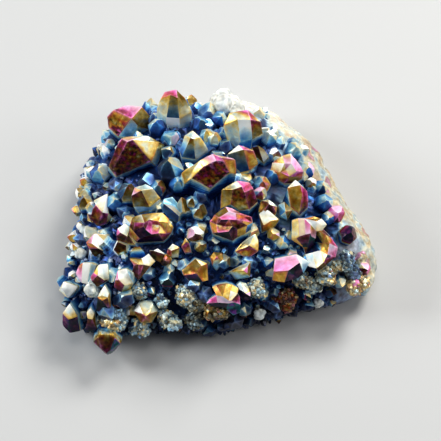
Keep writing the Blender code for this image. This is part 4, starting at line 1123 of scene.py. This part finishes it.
def facet_table(name):
    """A crystal's corners by letter, and its facets' letters, foot tone and top tone."""
    corners, facets = FACETED[name]
    places = {item[0]: [float(value) for value in item[1:].split(",")] for item in corners.split()}
    facets = [item.split(":") for item in facets.split()]
    return places, [(letters, tones[0], tones[-1]) for letters, *tones in facets]


def faceted_body(point, corners, facets):
    """Corners (mm) and loops of a crystal: its facets, then its walls down its axis, then its root."""
    foot, axes, _, length, _ = point
    tip_out = (foot + length * axes[2]) @ VIEW_OUT
    keys = list(corners)
    right, up, drop = QUARTER * np.array([corners[key] for key in keys]).T
    out = tip_out - drop
    nearer = 1 - (out - CENTRE_OUT) / EYE_DISTANCE
    top = np.outer(right * nearer, VIEW_RIGHT) + np.outer(up * nearer, VIEW_UP) + np.outer(out, VIEW_OUT)
    loops = []
    for names, _, _ in facets:
        loop = np.array([keys.index(name) for name in names])
        after = np.roll(loop, -1)
        turn = (right[loop] * up[after] - right[after] * up[loop]).sum()
        loops.append(loop if turn > 0 else loop[::-1])
    ends = {(a, b) for loop in loops for a, b in zip(loop, np.roll(loop, -1))}
    rim = {a: b for a, b in ends if (b, a) not in ends}
    order = [min(rim)]
    while rim[order[-1]] != order[0]:
        order.append(rim[order[-1]])
    low = {key: len(top) + n for n, key in enumerate(order)}
    walls = [np.array((a, low[a], low[rim[a]], rim[a])) for a in order]
    root = np.array([low[key] for key in order[::-1]])
    return np.concatenate((top, top[order] - WALL_LENGTH * axes[2])), loops + walls + [root]


def faceted_paint(points, tris, owners, inset, corners, loops, facets, axis, phase):
    """The channels at each triangle's corners of a crystal that is given facet by facet."""
    film, shade, pale, mottling, stripes = (np.zeros(tris.shape) for _ in range(5))
    height = points @ (VIEW_UP + VIEW_OUT)
    for number, loop in enumerate(loops):
        mine = owners == number
        at = tris[mine]
        if number < len(facets):
            low, high = (np.array(TONES[tone]) for tone in facets[number][1:])
            heights = corners[loop] @ (VIEW_UP + VIEW_OUT)
            share = smooth_step(heights.min(), heights.max(), height[at])
            film[mine] = blend(low[:2].mean(), high[:2].mean(), share)
            shade[mine], pale[mine], mottling[mine] = (blend(low[k], high[k], share) for k in (2, 3, 4))
            stripes[mine] = CAP_STRIPES
        else:
            a, b = corners[loop[0]], corners[loop[-1]]
            across = np.linalg.pinv(np.stack((b - a, -axis), axis=1))
            below = ((points[at] - a) @ across.T)[..., 1]
            film[mine] = np.interp(below, *zip(*WALL_FILMS))
            shade[mine], mottling[mine], stripes[mine] = FACET_WALL
    ridge = np.where(owners[:, None] < len(facets), np.exp(-inset[tris] / FACET_RIDGE), 0.0)
    film, shade, pale = ridged(film, shade, pale, ridge, shade, FACET_RIDGE_PALE)
    drift = FACET_DRIFT * np.sin(DRIFT_TURN * owners[:, None] + (points @ DRIFT_DIRECTION)[tris])
    rise = (points @ axis)[tris]
    metal = metal_of(pale, shade)
    return stacked(film + drift + FILM_JITTER * phase, shade, pale, rise, stripes, mottling, metal)


def add_faceted(bodies, point, name):
    """Adds one of the large crystals."""
    foot, axes, width, _, _ = point
    corners, facets = facet_table(name)
    body, loops = faceted_body(point, corners, facets)
    cuts = FACET_CUTS if width > FACET_BIG else FACET_CUTS_SMALL
    points, tris, owners, inset = fine_body(body, loops, range(len(loops)), cuts)
    paint = faceted_paint(points, tris, owners, inset, body, loops, facets, axes[2], phase_of(foot))
    bodies.append((points, tris, paint))


def sink_faces(points, tris, owners, inset, normals, depth, rim):
    """Sinks the middle of each cap face below its rim, in two soft steps."""
    planes = np.full(len(points), -1)
    planes[tris.ravel()] = np.repeat(owners, 3)
    on_cap = (inset > 1e-6) & (planes % 2 == 1) & (planes < 2 * SIDES)
    fall = sum(share * smooth_step(start * rim, end * rim, inset) for share, start, end in HOPPER_STEPS)
    drop = np.where(on_cap, depth * np.nan_to_num(fall, posinf=1.0), 0.0)
    return points - normals[planes] * drop[:, None]


def add_point(bodies, point, rng, looks, name=None):
    """Adds a quartz point, cut small enough to be weathered."""
    foot, axes, width, length, cap = point
    normals, offsets = crystal_planes(width, length, cap, rng)
    cuts = int(np.clip(round(CUTS_PER_MM * width), 2, MOST_CUTS))
    points, tris, owners, inset = fine_body(*convex_body(normals, offsets), cuts)
    paint = painted(points, tris, owners, inset, normals, axes, width, length, looks, phase_of(foot))
    if name is None:
        # painted shade on scattered points low on the front
        paint[:, :, 1] *= painted_front_shade(foot)
    if name in HOPPERS:
        points = sink_faces(points, tris, owners, inset, normals, *HOPPERS[name])
    bodies.append((foot + points @ axes, tris, paint))


# ---------------------------------------------------------------- druse and lumps
def view_place(foot):
    """Where a place is seen in the front view: (right, up) in millimetres."""
    return foot @ VIEW_RIGHT, foot @ VIEW_UP


def part_of(foot):
    """Which part of the cluster a place belongs to, for its palette."""
    right, up = view_place(foot)
    if up > RIND_PART - RIND_SLOPE * max(right, 0) and right > RIND_LEFT:
        return "rind"
    if right < LEFT_PART:
        return "left"
    if up < FRONT_PART - FRONT_SLOPE * abs(right):
        return "front"
    if right > RIGHT_PART - RIGHT_SLOPE * up:
        return "right"
    return "top" if up > TOP_PART else "middle"


def painted_front_shade(foot):
    """Painted shade: low on the front, which lies in shade, the small points are darker."""
    return 1 - SMALL_FRONT_SHADE * smooth_step(*FRONT_FADE, foot @ VIEW_UP)


def looks_of(text):
    """Tones by the angle to which they belong, from words that each hold an angle and a tone."""
    return {int(angle): tone for angle, tone in (word.split(":") for word in text.split())}


def random_looks(foot, rng, palette=None):
    """Tones up, right, down and left from the palette given, or from that of a place."""
    palette = palette or PALETTES[part_of(foot)]
    up, right, down, left = palette[rng.integers(len(palette))].split()
    return {90: up, 0: right, -90: down, 180: left}


def templates(rng, ratio, plain=False):
    """Small points of width 1 in several shapes: body, plane normals and length."""
    made = []
    for _ in range(TEMPLATES):
        length = rng.uniform(*ratio)
        normals, offsets = crystal_planes(1.0, length, rng.uniform(0, 1), rng)
        body = convex_body(normals, offsets)
        made.append((plain_body(*body) if plain else fine_body(*body, 1), normals, length))
    return made


def add_small(bodies, template, foot, axes, width, looks, thin):
    """Adds a small point, with a thicker film along its edges and a painted highlight that makes them paler.
    """
    (points, tris, owners, inset), normals, length = template
    points = points * width
    sizes = width, length * width
    paint = painted(points, tris, owners, inset * width, normals, axes, *sizes, looks, phase_of(foot), thin)
    edge = np.where(inset[tris] > 0, 0.0, 1.0)
    paint[:, :, 0] += SMALL_EDGE_FILM * edge * thin * (paint[:, :, 0] < SMALL_EDGE_BELOW)
    # painted shade low on the front
    paint[:, :, 1] *= painted_front_shade(foot)
    # painted highlight: paler edges
    paint[:, :, 2] += SMALL_EDGE_HIGHLIGHT * edge * thin
    bodies.append((foot + points @ axes, tris, paint))


def surface_samples(points, tris, count, rng):
    """Random places on a mesh with its normal there."""
    a, b, c, across = triangle_corners(points, tris)
    areas = np.linalg.norm(across, axis=1)
    chosen = rng.choice(len(tris), count, p=areas / areas.sum())
    weights = rng.dirichlet((1, 1, 1), count)
    places = weights[:, :1] * a[chosen] + weights[:, 1:2] * b[chosen] + weights[:, 2:] * c[chosen]
    return places, across[chosen] / areas[chosen, None]


def spaced(places, widths, spacing, hosts):
    """Indices of places that keep clear of one another and of the hosts' feet."""
    feet, reaches = hosts
    taken, taken_widths, kept = np.zeros_like(places), np.zeros(len(places)), []
    for i, (place, width) in enumerate(zip(places, widths)):
        if (np.linalg.norm(feet - place, axis=1) < reaches).any():
            continue
        n = len(kept)
        apart = np.linalg.norm(taken[:n] - place, axis=1)
        if (apart < spacing * (width + taken_widths[:n])).any():
            continue
        taken[n], taken_widths[n] = place, width
        kept.append(i)
    return kept


def add_druse(bodies, places, facing, widths, kept, settings, rng, palette=None):
    """Adds small points at the places kept, each with a seeded shape, lean, turn and look."""
    shapes = templates(rng, settings["length"])
    for i in kept:
        axis = facing[i] + rng.normal(0, settings["tilt"], 3)
        axes = axes_along(axis, rng.normal(0, 1, 3))
        shape = shapes[rng.integers(TEMPLATES)]
        # thinner film on the small points: painted shade between the large ones
        thin = 1.0 if palette else np.clip(widths[i] / THIN_BELOW, THINNEST, 1)
        add_small(bodies, shape, places[i], axes, widths[i], random_looks(places[i], rng, palette), thin)


def ball():
    """Points and triangles of a ball of radius 1."""
    egg = bmesh.new()
    bmesh.ops.create_icosphere(egg, subdivisions=LUMP_DETAIL, radius=1.0)
    points = np.array([vert.co for vert in egg.verts])
    tris = np.array([[vert.index for vert in face.verts] for face in egg.faces])
    egg.free()
    return points, tris


def add_lump(pieces, point, look, shapes, rng):
    """Adds a lump: rounded parts that run into one another, rough with grains, with painted shade in their
    hollows and painted light on their bumps.
    """
    base, bright, whiteness, roughness = look
    foot, axes, width, length, _ = point
    round_points, tris = ball()
    unevenness = LUMP_LEAST + LUMP_GAIN * roughness
    wobbles = [(pitch, size * unevenness) for pitch, size in LUMP_WOBBLES]
    for part in range(LUMP_PARTS):
        radius = width * rng.uniform(*PART_SIZE) * (FIRST_PART if part == 0 else 1.0)
        middle = rng.uniform(-PART_SIDEWAYS, PART_SIDEWAYS, 3) * (width, width, 0)
        middle = middle + (0, 0, length * rng.uniform(*PART_ALONG))
        points = foot + (middle + round_points * (radius * rng.uniform(*PART_STRETCH, 3))) @ axes
        rough = weathered(points, tris, wobbles, 0.0)
        lift = ((rough - points) * point_normals(points, tris)).sum(axis=1) / unevenness
        changes = zip((LUMP_SPECKS, LUMP_FLECKS, LUMP_FILM, LUMP_BLUSH), LUMP_SEEDS)
        changes = (size * lattice_noise(rough, pitch, seed) for (pitch, size), seed in changes)
        specks, flecks, drift, blush = changes
        film = base + roughness * (drift + flecks)
        if foot[0] > BLUSH_FROM and base > BLUSH_FILM:
            film = blend(film, RIDGE_PINK, smooth_step(*BLUSH_EDGE, blush))
        # painted shade in the hollows and painted light on the bumps, by lift
        shade = bright * np.clip(LUMP_SHADE + roughness * (LUMP_HOLLOW_SHADE * lift + specks), *LUMP_SHADES)
        look = (whiteness, 0, 0, LUMP_MOTTLING * roughness, metal_of(whiteness, bright))
        pieces["lumps"].append((rough, tris, stacked(film[tris], shade[tris], *look)))
        if roughness > LUMP_STRONG:
            add_lump_grains(pieces["lump_grains"], rough, tris, base, bright, shapes, rng)


def add_lump_grains(bodies, points, tris, base, bright, shapes, rng):
    """Studs a part of a lump with tiny matt points, each of its own colour, with painted glints and shade in
    the brightness of each point and of its faces.
    """
    count = LUMP_GRAINS["count"]
    places, facing = surface_samples(points, tris, count, rng)
    widths = rng.uniform(*LUMP_GRAINS["width"], count)
    frequency, share = GRAIN_FACE_LIGHT_AND_SHADE
    for i in spaced(places, widths, LUMP_GRAINS["spacing"], (np.zeros((1, 3)), np.zeros(1))):
        (shape, shape_tris, owners, _), _, _ = shapes[rng.integers(len(shapes))]
        axes = axes_along(facing[i] + rng.normal(0, LUMP_GRAINS["tilt"], 3), rng.normal(0, 1, 3))
        film = np.full(shape_tris.shape, base + rng.normal(0, GRAIN_FILM))
        # painted glints and shade: a brightness for each grain and for each of its faces
        shade = bright * rng.choice(GRAIN_SHADES) * (1 + share * np.sin(frequency * owners))[:, None]
        paint = stacked(film, shade, GRAIN_PALE, 0, 0, GRAIN_MOTTLING, GRAIN_METAL * METAL)
        bodies.append((places[i] + (shape * widths[i]) @ axes, shape_tris, paint))


# ---------------------------------------------------------------- matrix
def plan_share(points):
    """How far out a place lies in plan: 0 in the middle, 1 at the matrix's widest."""
    plan = np.array(MATRIX_PLAN) - (0, PLAN_MIDDLE)
    x, y = points[:, 0], points[:, 1] - PLAN_MIDDLE
    reach = np.interp(np.arctan2(y, x), np.arctan2(plan[:, 1], plan[:, 0]), np.hypot(*plan.T), period=tau)
    return np.hypot(x, y) / reach


def rind_share(points):
    """How much a place of the matrix belongs to its bare rind, from 0 to 1."""
    compass = np.arctan2(points[:, 1] - PLAN_MIDDLE, points[:, 0])
    start, end, top = (
        smooth_step(edge - before, edge + after, value)
        for (edge, before, after), value in zip(RIND_EDGES, (compass, compass, points[:, 2]))
    )
    return start * (1 - end) * (1 - top)


def fine_matrix(matrix):
    """Points and triangles of the matrix, cut flat at the base, finely cut and roughened."""
    body = matrix.copy()
    everything = body.verts[:] + body.edges[:] + body.faces[:]
    bmesh.ops.bisect_plane(body, geom=everything, plane_co=(0, 0, 0), plane_no=(0, 0, 1), clear_inner=True)
    bmesh.ops.holes_fill(body, edges=body.edges)
    bmesh.ops.triangulate(body, faces=body.faces)
    bmesh.ops.subdivide_edges(body, edges=body.edges, cuts=MATRIX_CUTS, use_grid_fill=True)
    bmesh.ops.triangulate(body, faces=body.faces)
    body.verts.index_update()
    points = np.array([vert.co for vert in body.verts])
    tris = np.array([[vert.index for vert in face.verts] for face in body.faces])
    body.free()
    on_base = points[:, 2] < ON_BASE
    for _ in range(MATRIX_EASINGS):
        points = np.where(on_base[:, None], points, 0.5 * (points + neighbour_means(points, tris)))
    rough = weathered(points, tris, MATRIX_WOBBLES, 0.0)
    rough[:, 2] = rough[:, 2].clip(OFF_BASE)
    return np.where(on_base[:, None], points, rough), tris


def matrix_paint(points, tris):
    """The channels at each triangle's corners of the matrix: dark, with painted shade between the crystals,
    low on the front and in pits, and pale and blotched on its rind.
    """

    def area(name, value):
        return smooth_step(*AREAS[name], value)

    patches, specks, fine = (lattice_noise(points, *settings) for settings in (PATCHES, SPECKS, FINE))
    right, up = view_place(points)
    rind = rind_share(points)
    rim = area("rim", plan_share(points) + RIM_WAVER * patches)
    end = area("end", right)
    # painted shade in pits of the rind
    shaded_pits = area("shaded_pits", lattice_noise(points, *PITS)) * (1 - rim)
    flecks = area("flecks", lattice_noise(points, *FLECKS)) * rim
    low = 1 - area("low", points[:, 2])
    blush = BLUSH_SHARE * area("blush", lattice_noise(points, *BLUSHES)) * end * (1 - low)
    # painted shade between the crystals on the right
    shaded_gap = (1 - rim) * area("shaded_gap", right)
    cove = area("cove_right", right) * area("cove_left", right) * area("cove_top", up + COVE_WAVER * patches)

    film = mixed(RIND_FILM, rim, specks, patches, mixed(END_FILM, patches) * end, flecks)
    film = blend(blend(film, RIDGE_PINK, blush), PIT_FILM, shaded_pits)
    film = blend(mixed(DARK_FILM, specks, patches), film, rind)
    film = blend(film, mixed(COVE_FILM, specks, patches), cove)
    film = blend(film, mixed(GAP_FILM, specks, patches), shaded_gap)
    shade = mixed(RIND_SHADE, rim, specks, fine, end * (1 - low), low, shaded_pits)
    # painted shade: the matrix off the rind is dim, and dimmer low on the front
    dark = DARK_SHADE * (1 - MATRIX_FRONT_SHADE * area("front", up))
    shade = dark * (1 - rind) + RIND_BRIGHTNESS * shade * rind
    shade = blend(shade, mixed(COVE_SHADE, specks, fine), cove)
    shade = blend(shade, mixed(GAP_SHADE, specks, fine), shaded_gap)
    pale = mixed(RIND_PALE, rim, end) * (1 - shaded_pits) * (1 - shaded_gap) * rind + COVE_PALE * cove
    metal = METAL * (1 - RIND_DULLNESS * np.maximum(rind * (1 - shaded_gap), cove))
    return stacked(film[tris], shade[tris], pale[tris], 0, 0, MATRIX_MOTTLING, metal[tris])


# ---------------------------------------------------------------- film, floor, lights and camera
def film_material():
    """Iridescent metal film over quartz: colour by film thickness, scaled by the painted light and shade of
    the shade attribute.
    """
    material = bpy.data.materials.new("aura_film")
    material.use_nodes = True
    nodes, links = material.node_tree.nodes, material.node_tree.links
    shader = nodes["Principled BSDF"]

    def attribute(name):
        node = nodes.new("ShaderNodeAttribute")
        node.attribute_name = name
        return node.outputs["Fac"]

    def maths(operation, first, second):
        node = nodes.new("ShaderNodeMath")
        node.operation = operation
        for socket, value in zip(node.inputs, (first, second)):
            if isinstance(value, (int, float)):
                socket.default_value = value
            else:
                links.new(value, socket)
        return node.outputs[0]

    def noise_of(settings, vector=None, along=None):
        node = nodes.new("ShaderNodeTexNoise")
        node.noise_dimensions = "1D" if vector is None else "3D"
        node.inputs["Scale"].default_value, node.inputs["Detail"].default_value = settings
        if vector is None:
            links.new(along, node.inputs["W"])
        else:
            links.new(vector, node.inputs["Vector"])
        return node.outputs["Fac"]

    def centred(value):
        return maths("SUBTRACT", value, 0.5)

    def with_more(value, share, gain):
        return maths("ADD", value, maths("MULTIPLY", share, gain))

    where = nodes.new("ShaderNodeTexCoord").outputs["Object"]
    bands = noise_of(BANDS, along=attribute("rise"))
    mottling = attribute("mottling")
    amount = maths("ADD", maths("MULTIPLY", mottling, MOTTLE_GAIN), MOTTLE_LEAST)
    film = with_more(attribute("film"), centred(noise_of(MOTTLE, where)), amount)
    film = with_more(film, centred(noise_of(BROAD, where)), BROAD_GAIN)
    film = with_more(film, maths("MULTIPLY", centred(bands), attribute("stripes")), STRIPE_GAIN)
    ramp = nodes.new("ShaderNodeValToRGB")
    for place, _ in FILM[1:-1]:
        ramp.color_ramp.elements.new(place)
    for element, (place, colour) in zip(ramp.color_ramp.elements, FILM):
        element.position = place
        element.color = (*colour, 1)
    links.new(film, ramp.inputs["Fac"])

    whiten = nodes.new("ShaderNodeMix")
    whiten.data_type = "RGBA"
    colours = [socket for socket in whiten.inputs if socket.type == "RGBA"]
    colours[1].default_value = PALE_COLOUR
    links.new(ramp.outputs["Color"], colours[0])
    links.new(attribute("pale"), whiten.inputs["Factor"])
    whitened = next(socket for socket in whiten.outputs if socket.type == "RGBA")

    blotches = centred(noise_of(BLOTCHES, where))
    blotched = with_more(1.0, blotches, maths("MULTIPLY", mottling, BLOTCH_GAIN))
    scale = nodes.new("ShaderNodeVectorMath")
    scale.operation = "SCALE"
    links.new(whitened, scale.inputs[0])
    # the shade attribute: the film's own light and dark, and painted light and shade
    shade = maths("MULTIPLY", attribute("shade"), maths("MAXIMUM", blotched, DARKEST))
    links.new(shade, scale.inputs["Scale"])
    links.new(scale.outputs["Vector"], shader.inputs["Base Color"])

    fine = noise_of(FINEST, where)
    metal = attribute("metal")
    dulled = with_more(ROUGHNESS, maths("SUBTRACT", METAL, metal), DULL_GAIN)
    links.new(with_more(dulled, fine, FINE_GAIN), shader.inputs["Roughness"])
    links.new(metal, shader.inputs["Metallic"])
    bump = nodes.new("ShaderNodeBump")
    bump.inputs["Strength"].default_value = BUMP_STRENGTH
    bump.inputs["Distance"].default_value = BUMP_DEPTH
    relief = with_more(maths("MULTIPLY", fine, FINE_RELIEF), bands, attribute("stripes"))
    links.new(relief, bump.inputs["Height"])
    links.new(bump.outputs["Normal"], shader.inputs["Normal"])
    return material


def linked(name, data):
    """An object in the scene that shows the data."""
    thing = bpy.data.objects.new(name, data)
    bpy.context.scene.collection.objects.link(thing)
    return thing


def make_floor():
    """A plain pale floor, which is staging and no part of the object."""
    material = bpy.data.materials.new("floor")
    material.use_nodes = True
    shader = material.node_tree.nodes["Principled BSDF"]
    shader.inputs["Base Color"].default_value = (*FLOOR_COLOUR, 1)
    shader.inputs["Roughness"].default_value = FLOOR_ROUGHNESS
    mesh = bpy.data.meshes.new("floor")
    corners = [(x * FLOOR_HALF, y * FLOOR_HALF, 0) for x, y in ((-1, -1), (1, -1), (1, 1), (-1, 1))]
    mesh.from_pydata(corners, [], [(0, 1, 2, 3)])
    mesh.materials.append(material)
    floor = linked("floor", mesh)


def make_lights():
    """The soft boxes, all facing the cluster, and a faint sky."""
    for name, (place, side, watts, colour) in LIGHTS.items():
        light = bpy.data.lights.new(name, "AREA")
        light.size, light.energy, light.color = side, watts, colour
        thing = linked(name, light)
        thing.location = place
        thing.rotation_euler = (-Vector(place)).to_track_quat("-Z", "Y").to_euler()
    world = bpy.data.worlds.new("studio")
    world.use_nodes = True
    background = world.node_tree.nodes["Background"]
    background.inputs["Color"].default_value = SKY_COLOUR
    background.inputs["Strength"].default_value = SKY_STRENGTH
    bpy.context.scene.world = world


def make_camera():
    """The camera of the front view."""
    camera = bpy.data.cameras.new("camera")
    camera.sensor_width = SENSOR
    camera.lens = SENSOR * EYE_DISTANCE / PICTURE_WIDTH
    camera.clip_start = NEAREST_SEEN
    eye = (VIEW_CENTRE + EYE_DISTANCE * VIEW_OUT) * MM
    turn = Matrix([[float(value) for value in row] for row in zip(VIEW_RIGHT, VIEW_UP, VIEW_OUT)])
    thing = linked("camera", camera)
    thing.matrix_world = Matrix.Translation(Vector(eye)) @ turn.to_4x4()
    bpy.context.scene.camera = thing


# ---------------------------------------------------------------- the whole
def finish_piece(thing, material):
    """Gives a piece its film and says what it stands for."""
    thing.data.materials.append(material)
    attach(thing, "root")
    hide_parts(NODE)


def room_below(matrix_points, places):
    """How far places lie above the matrix's front edge, in the front view (mm)."""
    across, up = view_place(matrix_points)
    edge = [up[np.abs(across - strip) < EDGE_STRIP].min() for strip in EDGE_STRIPS]
    right, height = view_place(places)
    return height - np.interp(right, EDGE_STRIPS, edge)


def add_all_druse(pieces, matrix_points, matrix_tris, hosts, rng):
    """Adds the small points between the large ones, on the rind and over the front."""
    feet, reaches = hosts
    kinds = (("druse", MIDDLING), ("druse", DRUSE), ("druse", RIND_DRUSE), ("grains", GRAINS))
    for name, settings in kinds:
        places, facing = surface_samples(matrix_points, matrix_tris, settings["tries"], rng)
        low, high = settings["width"]
        widths = low * (high / low) ** rng.uniform(0, 1, len(places))
        rind = rind_share(places)
        right, up = view_place(places)
        keep = (places[:, 2] > DRUSE_LOWEST) & ~((right > BARE_END[0]) & (up < BARE_END[1]))
        if settings is RIND_DRUSE:
            height = places[:, 2] + rng.normal(0, RIND_DRUSE_SPREAD, len(places))
            keep &= (rind > RIND_LEAST) & (height > RIND_DRUSE_LOWEST)
        else:
            keep &= rind < OFF_RIND
        if settings is MIDDLING:
            keep &= right > MIDDLING_FROM
        if settings is GRAINS:
            keep &= up < GRAINS_BELOW + rng.normal(0, GRAINS_SPREAD, len(places))
        places, facing, widths, right, up = (values[keep] for values in (places, facing, widths, right, up))
        kept = spaced(places, widths, settings["spacing"], (np.array(feet), np.array(reaches)))
        palette = PALETTES["rind"] if settings is RIND_DRUSE else None
        droop = np.maximum(-(facing @ VIEW_UP), LEAST_DROOP)
        room = (room_below(matrix_points, places) + EDGE_SLACK) / droop
        fitted = np.clip(room / np.mean(settings["length"]), SMALLEST, widths)
        for middle, height, reach in CLEARED:
            fitted[np.hypot(right - middle, up - height) < reach] = SMALLEST
        add_druse(pieces[name], places, facing, fitted, kept, settings, rng, palette)
        feet += list(places[kept])
        reaches += list(DRUSE_REACH * widths[kept])


def build_pieces():
    """The bodies of every piece, by the piece's name."""
    rng, own = np.random.default_rng(SEED), np.random.default_rng(SEED + 1)
    matrix = build_matrix()
    tree = BVHTree.FromBMesh(matrix)
    placed = placed_points(tree, POINTS)
    scattered = scattered_points(matrix.copy(), placed, rng)
    named = dict(zip([*POINTS, *EXTRAS], placed + placed_points(tree, EXTRAS)))
    shapes = templates(own, LUMP_GRAINS["length"], plain=True)
    pieces = {name: [] for name in PIECES}
    for name, point in named.items():
        if name in POINTS and (name in LUMPS or name in FACETED):
            crystal_planes(*point[2:], rng)  # keeps the random order of the solid
        if name in LUMPS:
            add_lump(pieces, point, LUMPS[name], shapes, own)
        elif name in FACETED:
            add_faceted(pieces["large_points"], point, name)
        else:
            add_point(pieces["quartz_points"], point, rng, looks_of(LOOKS[name]), name)
    for point in scattered:
        add_point(pieces["quartz_points"], point, rng, random_looks(point[0], own))

    matrix_points, matrix_tris = fine_matrix(matrix)
    hosts = []
    for name, (foot, _, width, _, _) in named.items():
        hosts.append((foot, width * (LUMP_REACH if name in LUMPS else HOST_REACH)))
    hosts += [(foot, width * HOST_REACH) for foot, _, width, *_ in scattered]
    add_all_druse(pieces, matrix_points, matrix_tris, tuple(map(list, zip(*hosts))), own)
    pieces["matrix"] = [(matrix_points, matrix_tris, matrix_paint(matrix_points, matrix_tris))]
    return pieces


def main():
    """Makes the pieces, then the floor, lights and camera."""
    material = film_material()
    for name, bodies in build_pieces().items():
        points, tris, paint = joined(bodies)
        if name in ("large_points", "quartz_points"):
            points = weathered(points, tris, WOBBLES, SOFTENING)
        if name != "matrix":
            points[:, 2] = points[:, 2].clip(LOWEST)
        finish_piece(make_object(name, points, tris, paint, PIECES[name]), material)
    make_floor()
    make_lights()
    make_camera()
    bpy.context.scene.view_settings.view_transform = "Standard"


main()
